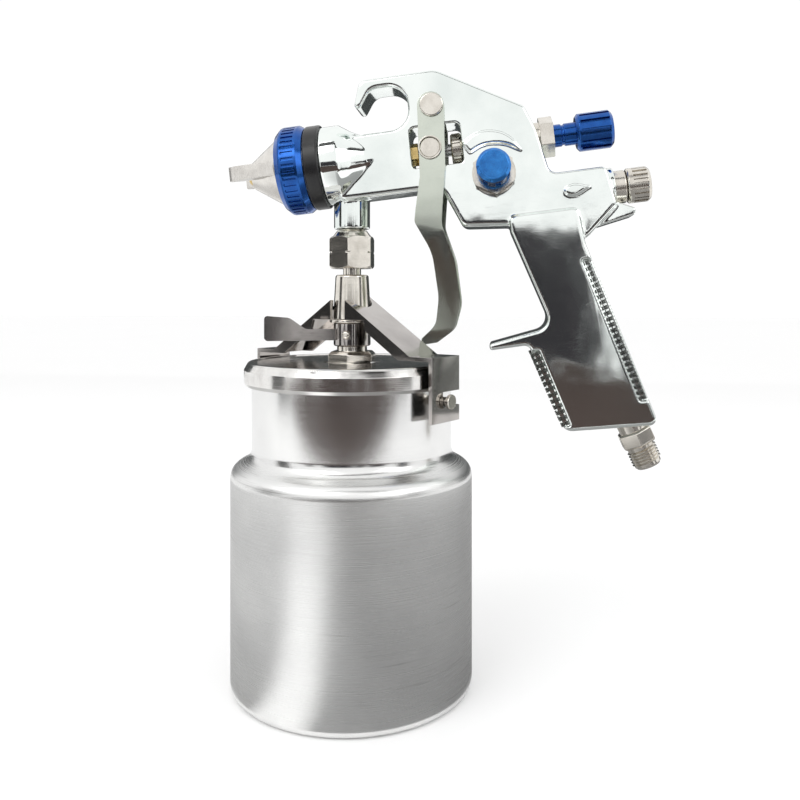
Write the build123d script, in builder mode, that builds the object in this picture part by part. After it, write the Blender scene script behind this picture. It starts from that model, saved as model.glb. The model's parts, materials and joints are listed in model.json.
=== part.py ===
from build123d import *
import os
from math import cos, radians, sin, sqrt

# HVLP spray gun on a siphon cup. Millimetres, +Z up, origin at the centre of the cup's base.
# +X runs from the air cap to the handle, +Y away from the side that carries the fan control.

# ---------- driving sizes ----------
running = 0.06          # radial clearance of a shaft in its own hole
free_gap = 0.3          # clearance between faces that only pass each other

# Cup
cup_diameter = 110.0
cup_wall = 1.2
cup_base_round = 6.0
shoulder_low = 98.0     # corner where the straight side turns in
shoulder_high = 103.0   # corner where the shoulder meets the neck
neck_diameter = 91.0
cup_height = 141.0
stud_drop = 10.3         # studs below the cup's rim
stud_radius = 2.0
stud_head_radius = 3.2

# Lid
lid_wall = 3.1          # thickness of the lid's skirt
lid_thickness = 2.6
lid_skirt = 10.4
lid_clearance = 0.4
gasket_thickness = 1.9
vent_radius = 1.2

# Stem between the lid and the gun
tube_radius = 4.15
tube_bore = 2.6
gland_flats = 20.0
gland_hex = 4.5
gland_boss = 6.9
gland_boss_height = 6.8
gland_shank = 7.0
sleeve_low_radius = 8.75
sleeve_high_radius = 7.6
sleeve_length = 20.3
nut_flats = 19.0
nut_hex_height = 14.7
nut_cone_height = 3.2
nut_thread = 5.5
nut_travel = 2.5
nut_line = 0.7          # turned line round the corners at mid height

# Clamp
lever_azimuth = 200.0
lever_reach = 40.0
lever_thickness = 3.8
collar_radius = 8.5
collar_height = 10.65
washer_thickness = 1.2
yoke_azimuth = -30.0
yoke_width = 20.6
yoke_sheet = 1.8
yoke_rise = 10.1        # apex above the washer
yoke_slope = 0.657
yoke_drop = 2.0
hook_clearance = 1.2
hook_length = 27.7

# Gun axis
axis_rise = 30.3        # gun axis above the spigot's foot
axis_tilt = 6.5
barrel_half = 10.0
barrel_top = 10.7
barrel_low = 17.6
spigot_radius = 8.3
nose_radius = 17.05
nose_front = -24.0
head_radius = 18.0
head_front = -12.0
hook_top = 35.0
edge_round = 1.5
window_front = 28.5
window_rear = 51.3
window_low = 7.8
window_high = 10.3

# Handle
handle_half = 11.5
band_depth = 1.1        # lowered bands for the beads along the grip's edges

# Air cap and nozzle
ring_radius = 20.25
ring_length = 13.0
cap_radius = 16.8
horn_tip = -54.3
horn_half = 3.2
horn_hole = 0.8
nozzle_radius = 4.8
nozzle_tip = -48.5
orifice = 0.9

# Trigger
pivot_along = 40.1
pivot_up = 18.6
bush_along = 37.4
pivot_radius = 3.0
bush_radius = 4.5
trigger_inside = 11.0
trigger_sheet = 2.5
finger_half = 7.0       # half width of the trigger's foot
trigger_swing = 12.0    # degrees from rest to a full pull

# Fluid needle, valve and rear controls
needle_radius = 1.5
stem_radius = 2.8
valve_chamber = 7.0
packing_thread = 5.0
seat_front = 57.0
valve_back = 62.0
lost_motion = 1.0
gland_front = 76.0
gland_rear = 85.8
gland_nut_flats = 16.0
gland_nut_length = 6.0
blue_stem_radius = 5.0
blue_stem_end = 108.0
screw_radius = 3.5
fluid_knob_radius = 8.35
fluid_knob_front = 101.7
fluid_knob_rear = 117.8
fluid_travel = 3.0

fan_along = 63.8
fan_up = -14.6
fan_bore = 5.0
fan_boss_flats = 17.0
fan_knob_radius = 7.2
fan_travel = 2.5

air_up = -26.3
air_face = 115.3
air_bore = 5.5
air_collar_radius = 7.3
air_knob_radius = 7.75

inlet_thread_radius = 6.58
inlet_thread_length = 10.0
inlet_flats = 14.0
inlet_hex = 7.0
inlet_bore = 4.2
inlet_lean = 24.0

# ---------- derived places ----------
cup_radius = cup_diameter / 2
neck_radius = neck_diameter / 2
stud_height = cup_height - stud_drop
lid_radius = neck_radius + lid_clearance + lid_wall
gasket_low = cup_height + 0.05
lid_under = gasket_low + gasket_thickness + 0.05
lid_top = lid_under + lid_thickness
gland_top = lid_top + gland_hex
boss_top = lid_top + gland_boss_height
collar_low = boss_top + 0.05
collar_top = collar_low + collar_height
washer_low = collar_top + 0.1
washer_top = washer_low + washer_thickness
washer_radius = yoke_width / 2
pad_low = washer_top + 0.2
sleeve_low = washer_top + free_gap
sleeve_top = sleeve_low + sleeve_length
nut_low = sleeve_top + nut_travel + free_gap
nut_top = nut_low + nut_hex_height
spigot_low = nut_top + nut_cone_height + free_gap
axis_height = spigot_low + axis_rise
nut_ledge = nut_low + 3.0
flare_low = nut_ledge + 0.6
flare_top = flare_low + 1.5
thread_low = flare_top + free_gap
yoke_half = yoke_width / 2
yoke_top = washer_top + yoke_rise + yoke_sheet
hook_inner = lid_radius + hook_clearance
hook_outer = hook_inner + yoke_sheet
arm_flat = lid_top + yoke_drop + free_gap + yoke_sheet
arm_turn = (yoke_top - arm_flat) / yoke_slope

tilt = radians(axis_tilt)
along = Vector(cos(tilt), 0, sin(tilt))
gun = Plane(origin=(0, 0, axis_height), x_dir=along, z_dir=(0, -1, 0))
gun_axis = Axis(gun.origin, along)
bush_travel = radians(trigger_swing) * sqrt(pivot_up**2 + (pivot_along - bush_along) ** 2)
needle_tail = gland_rear + gland_nut_length + 0.6
screw_tip = needle_tail + 0.7
screw_floor = needle_tail + fluid_travel + 0.2
inlet_axis = Vector(sin(radians(inlet_lean)), 0, -cos(radians(inlet_lean)))


def place(s, h):
    """World point at s along the gun axis and h above it, on the middle plane."""
    return gun.from_local_coords(Vector(s, h, 0))


def upright(azimuth):
    """Plane through the cup axis whose x runs outward at the azimuth and whose y is up."""
    c, s = cos(radians(azimuth)), sin(radians(azimuth))
    return Plane(origin=(0, 0, 0), x_dir=(c, s, 0), z_dir=(s, -c, 0))


def facing(azimuth, distance):
    """Plane square to the azimuth at a distance from the cup axis, x towards rising azimuth, y up."""
    c, s = cos(radians(azimuth)), sin(radians(azimuth))
    return Plane(origin=(c * distance, s * distance, 0), x_dir=(-s, c, 0), z_dir=(c, s, 0))


def outline(plane, points):
    """Closed face on a plane from (x, y, corner radius) points."""
    with BuildSketch(plane) as shape:
        with BuildLine():
            FilletPolyline(*[p[:2] for p in points], radius=[p[2] for p in points], close=True)
        make_face()
    return shape.sketch


def section(plane, *points):
    """Closed face on a plane from plain (x, y) points, to be turned about that plane's x axis."""
    with BuildSketch(plane) as shape:
        with BuildLine():
            Polyline(*points, close=True)
        make_face()
    return shape.sketch


def bar(start, stop, outer, inner=0.0):
    """Half section of a plain ring or bar between two places along an axis."""
    return ((start, inner), (start, outer), (stop, outer), (stop, inner))


def hex_at(plane, flats):
    """Hexagon across flats, centred on a plane, with two corners along its y axis."""
    with BuildSketch(plane) as shape:
        RegularPolygon(radius=flats / 2, side_count=6, major_radius=False, rotation=90)
    return shape.sketch


def square_to(origin, direction):
    """Plane at an origin facing along a direction, with x kept level across the gun."""
    return Plane(origin=origin, x_dir=(0, 1, 0), z_dir=direction)


def square_air(origin, direction):
    """Plane at an origin facing along a direction, with x upright across the gun axis."""
    return Plane(origin=origin, x_dir=(-sin(tilt), 0, cos(tilt)), z_dir=direction)


def across(origin):
    """Plane at an origin facing the near side, with x along the gun axis and y up from it."""
    return Plane(origin=origin, x_dir=along, z_dir=(0, -1, 0))


def outer_rim(piece):
    """Largest circular edge at the top of an upright turned piece."""
    return piece.edges().filter_by(GeomType.CIRCLE).group_by(Axis.Z)[-1].sort_by(SortBy.RADIUS)[-1]


def bore(plane, axis, *sizes):
    """Cuts a plain ring or bar, sized as for bar(), out of the part that is being built."""
    revolve(section(plane, *bar(*sizes)), axis=axis, mode=Mode.SUBTRACT)


os.makedirs("parts", exist_ok=True)


def save(piece, label):
    """Labels a finished piece and writes its STEP file."""
    piece.part.label = label
    export_step(piece.part, f"parts/{label}.step")


# ---------- cup ----------
with BuildPart() as cup_body:
    with BuildSketch(Plane.XZ):
        with BuildLine():
            FilletPolyline(
                (0, 0),
                (cup_radius, 0),
                (cup_radius, shoulder_low),
                (neck_radius, shoulder_high),
                (neck_radius, cup_height),
                radius=[cup_base_round, 7.0, 7.0],
            )
            offset(amount=cup_wall, side=Side.LEFT, closed=True)
        make_face()
    revolve(axis=Axis.Z)
    for azimuth in (yoke_azimuth, yoke_azimuth + 180):
        with BuildSketch(facing(azimuth, neck_radius - 5)):
            with Locations((0, stud_height)):
                Circle(stud_radius + 0.02)
        extrude(amount=10, mode=Mode.SUBTRACT)
save(cup_body, "cup_body")

with BuildPart() as cup_studs:
    for azimuth in (yoke_azimuth, yoke_azimuth + 180):
        inside_wall = neck_radius - cup_wall - 0.3
        with BuildSketch(facing(azimuth, inside_wall)):
            with Locations((0, stud_height)):
                Circle(stud_radius)
        extrude(amount=hook_outer + 1.7 - inside_wall)
        with BuildSketch(facing(azimuth, hook_outer + 1.6)):
            with Locations((0, stud_height)):
                Circle(stud_head_radius)
        extrude(amount=1.6)
        with BuildSketch(facing(azimuth, inside_wall - 1.2)):
            with Locations((0, stud_height)):
                Circle(stud_head_radius)
        extrude(amount=1.2)
save(cup_studs, "cup_studs")

# ---------- lid ----------
with BuildPart() as cup_lid:
    with BuildSketch(Plane.XZ):
        with BuildLine():
            Polyline(
                (gland_shank + 0.1, lid_under),
                (neck_radius + lid_clearance, lid_under),
                (neck_radius + lid_clearance, lid_top - lid_skirt),
                (lid_radius, lid_top - lid_skirt),
                (lid_radius, lid_top),
                (gland_shank + 0.1, lid_top),
                close=True,
            )
        make_face()
    revolve(axis=Axis.Z)
    fillet(outer_rim(cup_lid), 1.6)
    with BuildSketch(Plane.XY.offset(lid_under - 1)):
        with Locations((0, lid_radius / 2)):
            Circle(vent_radius)
    extrude(amount=lid_thickness + 2, mode=Mode.SUBTRACT)
save(cup_lid, "cup_lid")

with BuildPart() as lid_gasket:
    with BuildSketch(Plane.XY.offset(gasket_low)):
        Circle(neck_radius - 0.2)
        Circle(neck_radius - 4.5, mode=Mode.SUBTRACT)
    extrude(amount=gasket_thickness)
save(lid_gasket, "lid_gasket")

with BuildPart() as lid_gland:
    extrude(hex_at(Plane.XY.offset(lid_top), gland_flats), amount=gland_hex)
    chamfer(lid_gland.faces().sort_by(Axis.Z)[-1].edges(), 1.4)
    with BuildSketch(Plane.XY.offset(lid_under - 6)):
        Circle(gland_shank)
    extrude(amount=lid_thickness + 6)
    with BuildSketch(Plane.XY.offset(gland_top)):
        Circle(gland_boss)
    extrude(amount=boss_top - gland_top)
    with BuildSketch(Plane.XY.offset(lid_under - 6)):
        Circle(tube_radius + running)
    extrude(amount=boss_top - lid_under + 6, mode=Mode.SUBTRACT)
save(lid_gland, "lid_gland")

with BuildPart() as lid_locknut:
    extrude(hex_at(Plane.XY.offset(lid_under - 3.6), gland_flats), amount=3.5)
    with BuildSketch(Plane.XY.offset(lid_under - 3.6)):
        Circle(gland_shank + running)
    extrude(amount=3.5, mode=Mode.SUBTRACT)
save(lid_locknut, "lid_locknut")

with BuildPart() as stem_tube:
    with BuildSketch(Plane.XY.offset(lid_under - 6)):
        Circle(tube_radius)
    extrude(amount=flare_top - lid_under + 6)
    with BuildSketch(Plane.XY.offset(flare_low)):
        Circle(nut_thread - 0.3)
    extrude(amount=flare_top - flare_low)
    with BuildSketch(Plane.XY.offset(lid_under - 6)):
        Circle(tube_bore)
    extrude(amount=flare_top - lid_under + 6, mode=Mode.SUBTRACT)
save(stem_tube, "stem_tube")

with BuildPart() as stem_sleeve:
    with BuildSketch(Plane.XZ):
        with BuildLine():
            Polyline(
                (tube_radius + running, sleeve_low),
                (sleeve_low_radius, sleeve_low),
                (sleeve_high_radius, sleeve_top),
                (tube_radius + running, sleeve_top),
                close=True,
            )
        make_face()
    revolve(axis=Axis.Z)
    fillet(outer_rim(stem_sleeve), 1.2)
save(stem_sleeve, "stem_sleeve")

pickup_top = lid_under - 6.05
pickup_foot = 8.0
pickup_reach = 26.0
with BuildPart() as pickup_tube:
    with BuildLine() as route:
        bend = (0, 0, pickup_top * 0.62)
        FilletPolyline((0, 0, pickup_top), bend, (-pickup_reach, 0, pickup_foot), radius=30)
    with BuildSketch(Plane.XY.offset(pickup_top)):
        Circle(tube_radius - 0.3)
        Circle(tube_bore, mode=Mode.SUBTRACT)
    sweep(path=route.wires()[0])
    with BuildSketch(Plane.XY.offset(pickup_top - 4)):
        Circle(gland_shank - 0.5)
        Circle(tube_bore + 0.5, mode=Mode.SUBTRACT)
    extrude(amount=4)
save(pickup_tube, "pickup_tube")

foot = route.wires()[0] @ 1
foot_way = route.wires()[0] % 1
with BuildPart() as pickup_strainer:
    with BuildSketch(Plane(origin=foot - foot_way * 10, x_dir=(0, 1, 0), z_dir=foot_way)):
        Circle(tube_radius + 1.2)
        Circle(tube_radius - 0.3 + running, mode=Mode.SUBTRACT)
    extrude(amount=10.5)
save(pickup_strainer, "pickup_strainer")

# ---------- clamp ----------
arm_low = collar_low + 2.6
arm_high = arm_low + 5.2
blade_high = arm_low + 11.3
arm_root = tube_radius + 1.5
with BuildPart() as cam_lever:
    with BuildSketch(Plane.XY.offset(collar_low)):
        Circle(collar_radius)
    extrude(amount=collar_height)
    chamfer(cam_lever.edges().filter_by(GeomType.CIRCLE), 0.5)
    extrude(
        outline(
            upright(lever_azimuth),
            [
                (arm_root, arm_low, 0.5),
                (lever_reach, arm_low, 1.5),
                (lever_reach, blade_high, 1.5),
                (lever_reach * 0.72, blade_high - 1, 4.0),
                (lever_reach * 0.54, arm_high, 4.0),
                (arm_root, arm_high, 0.5),
            ],
        ),
        amount=lever_thickness / 2,
        both=True,
    )
    with BuildSketch(Plane.XY.offset(collar_low)):
        Circle(tube_radius + 0.15)
    extrude(amount=collar_height, mode=Mode.SUBTRACT)
    with BuildSketch(Plane.XY.offset(collar_low)):
        Circle(gland_boss + 0.1)
    extrude(amount=yoke_drop + 0.6, mode=Mode.SUBTRACT)
    with BuildSketch(facing(lever_azimuth + 62, collar_radius - 2.4)):
        with Locations((0, (arm_low + arm_high) / 2)):
            Circle(2.0)
    extrude(amount=6, mode=Mode.SUBTRACT)
save(cam_lever, "cam_lever")

with BuildPart() as lever_pin:
    with BuildSketch(facing(lever_azimuth + 62, collar_radius - 2.3)):
        with Locations((0, (arm_low + arm_high) / 2)):
            Circle(1.95)
    extrude(amount=3.4)
    fillet(lever_pin.edges().filter_by(GeomType.CIRCLE).sort_by(Axis.Y)[0], 1.2)
save(lever_pin, "lever_pin")

with BuildPart() as thrust_washer:
    with BuildSketch(Plane.XY.offset(washer_low)):
        Circle(washer_radius)
        Circle(tube_radius + 0.15, mode=Mode.SUBTRACT)
    extrude(amount=washer_thickness)
save(thrust_washer, "thrust_washer")

strap = upright(yoke_azimuth)
notch = 4.3
pad_end = 15.0
flange_depth = 6.0
flange_sheet = 1.6
flange_bottom = arm_flat - yoke_sheet + 0.1
hook_low = arm_flat - hook_length
flange_turn = (yoke_top - flange_depth - flange_bottom) / yoke_slope
rise = sqrt(1 + yoke_slope**2) * yoke_sheet


def strap_top(a):
    """Height of the yoke's upper face at a distance out from the stem."""
    return yoke_top - yoke_slope * abs(a)


def flange_outline(inner):
    """Side view of one arm's flange, from an inner end, down its pad and out to the flat."""
    return [
        (inner, strap_top(inner) - 0.4),
        (arm_turn, arm_flat - 0.4),
        (arm_turn, flange_bottom),
        (flange_turn, flange_bottom),
        (pad_end + 1.5, strap_top(pad_end + 1.5) - flange_depth),
        (pad_end, pad_low),
        (inner, pad_low),
    ]


with BuildPart() as yoke:
    half_strap = [
        (0, yoke_top),
        (arm_turn, arm_flat),
        (hook_outer, arm_flat),
        (hook_outer, hook_low),
        (hook_inner, hook_low),
        (hook_inner, arm_flat - yoke_sheet),
        (arm_turn - 0.3, arm_flat - yoke_sheet),
        (0, yoke_top - rise),
    ]
    for way in (1, -1):
        extrude(section(strap, *[(way * a, z) for a, z in half_strap]), amount=yoke_half, both=True)
        for side, inner in ((1, notch), (-1, 0)):
            middle = strap.offset(side * (yoke_half - flange_sheet / 2))
            flange = section(middle, *[(way * a, z) for a, z in flange_outline(inner)])
            extrude(flange, amount=flange_sheet / 2, both=True)
    with BuildSketch(Plane.XY.offset(pad_low - 5)):
        Circle(sleeve_low_radius + 0.35)
    extrude(amount=yoke_top - pad_low + 10, mode=Mode.SUBTRACT)
    mouth = Plane(origin=(0, 0, pad_low - 5), x_dir=strap.x_dir, z_dir=(0, 0, 1))
    with BuildSketch(mouth):
        with Locations((0, -yoke_half)):
            Rectangle(2 * notch, 2 * yoke_half)
    extrude(amount=yoke_top - pad_low + 10, mode=Mode.SUBTRACT)
    slot_height = 2 * (stud_radius + 0.15) + yoke_drop
    for azimuth in (yoke_azimuth, yoke_azimuth + 180):
        with BuildSketch(facing(azimuth, hook_inner - 1)):
            with Locations((-stud_radius - 0.2, stud_height - stud_radius - 0.15)):
                Rectangle(yoke_width, slot_height, align=(Align.MIN, Align.MIN))
        extrude(amount=yoke_sheet + 2, mode=Mode.SUBTRACT)
save(yoke, "yoke")

# ---------- swivel nut ----------
with BuildPart() as swivel_nut:
    extrude(hex_at(Plane.XY.offset(nut_low), nut_flats), amount=nut_hex_height)
    with BuildSketch(Plane.XZ):
        with BuildLine():
            corner = nut_flats / sqrt(3)
            Polyline(
                (0, nut_low),
                (corner - 1.6, nut_low),
                (corner + 0.2, nut_low + 1.4),
                (corner + 0.2, nut_top - 1.4),
                (corner - 1.6, nut_top),
                (0, nut_top),
                close=True,
            )
        make_face()
    revolve(axis=Axis.Z, mode=Mode.INTERSECT)
    with BuildSketch(Plane.XZ):
        with BuildLine():
            Polyline(
                (0, nut_top - 0.2),
                (nut_flats / 2 - 0.4, nut_top - 0.2),
                (nut_thread + 1.0, nut_top + nut_cone_height),
                (0, nut_top + nut_cone_height),
                close=True,
            )
        make_face()
    revolve(axis=Axis.Z)
    with BuildSketch(Plane.XZ):
        with Locations((corner, (nut_low + nut_top) / 2)):
            Rectangle(2 * nut_line, nut_line)
    revolve(axis=Axis.Z, mode=Mode.SUBTRACT)
    with BuildSketch(Plane.XY.offset(nut_low)):
        Circle(tube_radius + 0.1)
    extrude(amount=5, mode=Mode.SUBTRACT)
    with BuildSketch(Plane.XY.offset(nut_ledge)):
        Circle(nut_thread + running)
    extrude(amount=nut_hex_height + nut_cone_height, mode=Mode.SUBTRACT)
save(swivel_nut, "swivel_nut")

with BuildPart() as nut_thrust_ring:
    with BuildSketch(Plane.XY.offset(nut_ledge + 0.05)):
        Circle(nut_thread - 0.1)
        Circle(tube_radius + 0.1, mode=Mode.SUBTRACT)
    extrude(amount=flare_low - nut_ledge - 0.1)
save(nut_thrust_ring, "nut_thrust_ring")

# ---------- gun body ----------
body_outline = [
    (8.0, 22.6, 1.6),
    (4.8, 22.6, 1.6),
    (8.8, hook_top, 3.5),
    (43.0, hook_top, 9.0),
    (80.0, 13.6, 3.5),
    (84.2, 2.6, 8.0),
    (88.0, -17.4, 4.0),
    (112.0, -17.4, 2.6),
    (air_face - 0.3, -34.6, 2.6),
    (100.0, -48.0, 8.0),
    (90.0, -48.0, 8.0),
    (68.0, -38.0, 8.0),
    (47.6, -36.0, 4.0),
    (40.0, -barrel_low, 6.0),
    (-6.0, -barrel_low, 2.6),
    (-6.0, barrel_top, 2.6),
    (29.4, barrel_top, 9.0),
    (29.4, 30.4, 9.0),
    (13.4, 30.4, 6.0),
]
handle_outline = [
    (68.0, -34.0, 3.0),
    (98.0, -34.0, 3.0),
    (99.5, -50.0, 12.0),
    (121.3, -130.8, 3.0),
    (81.2, -130.0, 5.0),
    (70.4, -91.0, 3.0),
    (53.2, -91.6, 1.2),
    (53.2, -88.8, 1.2),
    (81.5, -84.0, 6.0),
    (68.2, -40.0, 6.0),
]
spur_outline = [
    (104.0, -22.0, 2.0),
    (air_face - 0.4, -33.0, 2.0),
    (123.0, -37.0, 1.0),
    (122.0, -39.8, 1.0),
    (100.0, -44.0, 2.0),
]
boss_radius = -air_up - 17.4
air = Plane(origin=place(0, air_up), x_dir=along, z_dir=(0, -1, 0))
air_axis = Axis(air.origin, along)
fan = across(place(fan_along, fan_up))
inlet_mouth = place(112.6, -136.9) - inlet_axis * (inlet_hex / 2)
inlet = square_to(inlet_mouth, inlet_axis)

with BuildPart() as trunk:
    extrude(outline(gun, body_outline), amount=barrel_half, both=True)
    fillet(trunk.faces().filter_by(Axis.Y).edges(), edge_round)

with BuildPart() as grip:
    extrude(outline(gun, handle_outline), amount=handle_half, both=True)
    fillet(grip.faces().filter_by(Axis.Y).edges(), 1.1)

rear_band = [(97.0, -56.5, 0.8), (104.0, -56.5, 0.8), (120.8, -120.0, 0.8), (114.2, -120.0, 0.8)]
front_band = [(69.0, -93.5, 0.8), (74.6, -93.5, 0.8), (84.4, -128.0, 0.8), (77.0, -128.0, 0.8)]
with BuildPart(mode=Mode.PRIVATE) as bands:
    for side in (1, -1):
        for band in (rear_band, front_band):
            level = side * (handle_half - band_depth / 2)
            extrude(outline(gun.offset(level), band), amount=band_depth / 2 + 0.01, both=True)

with BuildPart() as gun_body:
    add(trunk.part)
    add(grip.part)
    add(bands.part, mode=Mode.SUBTRACT)
    extrude(outline(gun, spur_outline), amount=barrel_half - 2.5, both=True)
    revolve(
        section(
            gun,
            (nose_front, 0),
            (nose_front, nose_radius),
            (head_front, nose_radius),
            (head_front, head_radius),
            (-4.0, head_radius),
            (1.0, 14.6),
            (8.0, 11.0),
            (16.0, 9.0),
            (16.0, 0),
        ),
        axis=gun_axis,
    )
    revolve(section(air, *bar(96.0, air_face, boss_radius)), axis=air_axis)
    with BuildSketch(Plane.XY.offset(spigot_low)):
        Circle(spigot_radius)
    extrude(amount=axis_height - 8 - spigot_low)
    with BuildSketch(Plane.XY.offset(thread_low)):
        Circle(nut_thread)
    extrude(amount=spigot_low - thread_low + 1)
    # window for the trigger's bush
    extrude(
        outline(
            gun,
            [
                (window_front, -window_low, 1.5),
                (window_rear, -window_low, 1.5),
                (window_rear, window_high, 3.0),
                (window_front, window_high, 3.0),
            ],
        ),
        amount=barrel_half + 2,
        both=True,
        mode=Mode.SUBTRACT,
    )
    # bores on the gun axis, from front to rear
    for start, stop, radius in (
        (nose_front - 1, -13.0, 6.0 + running),
        (-14.0, 6.0, 4.0),
        (5.0, 15.0, needle_radius + 0.5),
        (14.0, window_front + 1, 4.5 + running),
        (window_rear - 1, seat_front + 1, packing_thread + running),
        (seat_front, 95.0, valve_chamber),
    ):
        bore(gun, gun_axis, start, stop, radius)
    bore(gun, gun_axis, nose_front - 1, -18.0, 14.0, 9.4)
    # paint way up from the spigot
    with BuildSketch(Plane.XY.offset(thread_low - 1)):
        Circle(2.5)
    extrude(amount=axis_height - thread_low, mode=Mode.SUBTRACT)
    # fan control bore and the air way forward along the barrel
    with BuildSketch(fan.offset(-7)):
        Circle(fan_bore + running)
    extrude(amount=20, mode=Mode.SUBTRACT)
    with BuildSketch(square_to(place(-19.0, -12.5) + Vector(0, 5.0, 0), along)):
        Circle(2.0)
    extrude(amount=fan_along + 17, mode=Mode.SUBTRACT)
    with BuildSketch(square_to(place(fan_along, fan_up), place(0, 1) - place(0, 0))):
        Circle(2.5)
    extrude(amount=-fan_up, mode=Mode.SUBTRACT)
    # regulator bore, riser and handle air way
    bore(air, air_axis, 96.0, air_face + 1, air_bore + running)
    bore(air, air_axis, 84.0, 97.0, 3.0)
    # flat seats for the hexagon behind and the regulator's collar
    seat_radius = gland_nut_flats / sqrt(3) + 0.6
    bore(gun, gun_axis, gland_rear - 0.1, 110.0, seat_radius)
    bore(air, air_axis, air_face, 135.0, air_collar_radius + 0.5)
    riser_foot = place(85.0, -30.0)
    riser_head = place(72.0, -2.0)
    with BuildSketch(Plane(origin=riser_foot, x_dir=(0, 1, 0), z_dir=riser_head - riser_foot)):
        Circle(3.0)
    extrude(amount=(riser_head - riser_foot).length, mode=Mode.SUBTRACT)
    with BuildSketch(inlet.offset(-106)):
        Circle(inlet_bore)
    extrude(amount=110, mode=Mode.SUBTRACT)
    with BuildSketch(inlet.offset(-12)):
        Circle(6.0 + running)
    extrude(amount=20, mode=Mode.SUBTRACT)
    with BuildSketch(inlet):
        Circle(inlet_flats / sqrt(3) + 0.6)
    extrude(amount=20, mode=Mode.SUBTRACT)
    # hole for the trigger's pivot
    with BuildSketch(across(place(pivot_along, pivot_up)).offset(-20)):
        Circle(pivot_radius + running)
    extrude(amount=40, mode=Mode.SUBTRACT)
save(gun_body, "gun_body")

# ---------- air cap end ----------
with BuildPart() as air_baffle:
    revolve(section(gun, *bar(nose_front - 1.3, nose_front - 0.05, 14.6, 6.1)), axis=gun_axis)
    with BuildSketch(square_to(place(nose_front - 3, 0), along)):
        with PolarLocations(11.6, 12):
            Circle(1.2)
    extrude(amount=4, mode=Mode.SUBTRACT)
save(air_baffle, "air_baffle")

with BuildPart() as baffle_ring:
    front = head_front - 7.0
    revolve(
        section(
            gun,
            (front, nose_radius + running),
            (front, head_radius + 0.7),
            (front + 0.6, head_radius + 1.3),
            (head_front - 0.7, head_radius + 1.3),
            (head_front - 0.1, head_radius + 0.6),
            (head_front - 0.1, nose_radius + running),
        ),
        axis=gun_axis,
    )
save(baffle_ring, "baffle_ring")

flange_rear = nose_front - 1.4
with BuildPart() as fluid_nozzle:
    revolve(section(gun, *bar(flange_rear - 0.1, -14.0, 6.0)), axis=gun_axis)
    extrude(hex_at(square_to(place(flange_rear - 3.0, 0), along), 14.0), amount=3.0)
    revolve(
        section(
            gun,
            (flange_rear - 2.5, 0),
            (flange_rear - 2.5, 6.8),
            (-40.0, nozzle_radius),
            (-46.5, nozzle_radius),
            (nozzle_tip, nozzle_radius - 1.3),
            (nozzle_tip, 0),
        ),
        axis=gun_axis,
    )
    revolve(
        section(
            gun,
            (-13.0, 0),
            (-13.0, 3.0),
            (-43.0, 3.0),
            (-45.2, orifice + 0.1),
            (nozzle_tip - 1, orifice + 0.1),
            (nozzle_tip - 1, 0),
        ),
        axis=gun_axis,
        mode=Mode.SUBTRACT,
    )
save(fluid_nozzle, "fluid_nozzle")

cap_rear = nose_front - 3.3
cap_front = cap_rear - 3.0
cap_face = -46.5
lip_inner = cap_radius - 0.9
with BuildPart() as air_cap:
    revolve(
        section(
            gun,
            (cap_rear, 0),
            (cap_rear, cap_radius),
            (cap_front, cap_radius),
            (cap_front, lip_inner - 0.3),
            (cap_front - 2.6, lip_inner - 0.3),
            (cap_face, 6.2),
            (cap_face, 0),
        ),
        axis=gun_axis,
    )
    for side in (1, -1):
        horn = section(
            Plane(origin=gun.origin, x_dir=along, z_dir=Vector(-sin(tilt), 0, cos(tilt))),
            (cap_front - 1.5, side * 15.2),
            (horn_tip + 3.5, side * 15.2),
            (horn_tip, side * 13.4),
            (horn_tip, side * 11.6),
            (cap_face, side * 9.4),
            (cap_front - 1.5, side * 9.4),
        )
        extrude(horn, amount=horn_half, both=True)
    revolve(
        section(gun, (cap_rear + 1, 0), (cap_rear + 1, 14.4), (cap_front, 13.4), (-44.0, 5.4), (-44.0, 0)),
        axis=gun_axis,
        mode=Mode.SUBTRACT,
    )
    bore(gun, gun_axis, cap_face - 1, cap_rear, nozzle_radius + 0.5)
    for side in (1, -1):
        for hole_at in (horn_tip + 2.6, horn_tip + 5.4):
            mouth = place(hole_at, 0) + Vector(0, side * 12.6, 0)
            way = along * 0.35 + Vector(0, -side, 0)
            with BuildSketch(square_air(mouth, way)):
                Circle(horn_hole)
            extrude(amount=6, mode=Mode.SUBTRACT)
save(air_cap, "air_cap")

ring_rear = head_front - 7.0 - free_gap
ring_front = ring_rear - ring_length
with BuildPart() as air_cap_ring:
    revolve(
        section(
            gun,
            (ring_front, lip_inner),
            (ring_front, ring_radius - 2.6),
            (ring_front + 2.4, ring_radius - 0.3),
            (ring_front + 3.2, ring_radius),
            (ring_rear - 2.6, ring_radius),
            (ring_rear - 1.6, ring_radius - 0.5),
            (ring_rear, ring_radius - 1.6),
            (ring_rear, nose_radius + running),
            (cap_front - 0.15, nose_radius + running),
            (cap_front - 0.15, lip_inner),
        ),
        axis=gun_axis,
    )
save(air_cap_ring, "air_cap_ring")

with BuildPart() as cap_clip:
    revolve(section(gun, *bar(cap_rear + 0.1, cap_rear + 1.1, nose_radius - 0.05, 15.2)), axis=gun_axis)
    with BuildSketch(square_to(place(cap_rear - 1, 0), along)):
        with Locations((0, 17)):
            Rectangle(5, 8)
    extrude(amount=4, mode=Mode.SUBTRACT)
save(cap_clip, "cap_clip")

# ---------- needle packing and front gland ----------
with BuildPart() as fluid_packing:
    revolve(section(gun, *bar(15.0, 20.0, 4.5, needle_radius + running)), axis=gun_axis)
save(fluid_packing, "fluid_packing")

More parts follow.
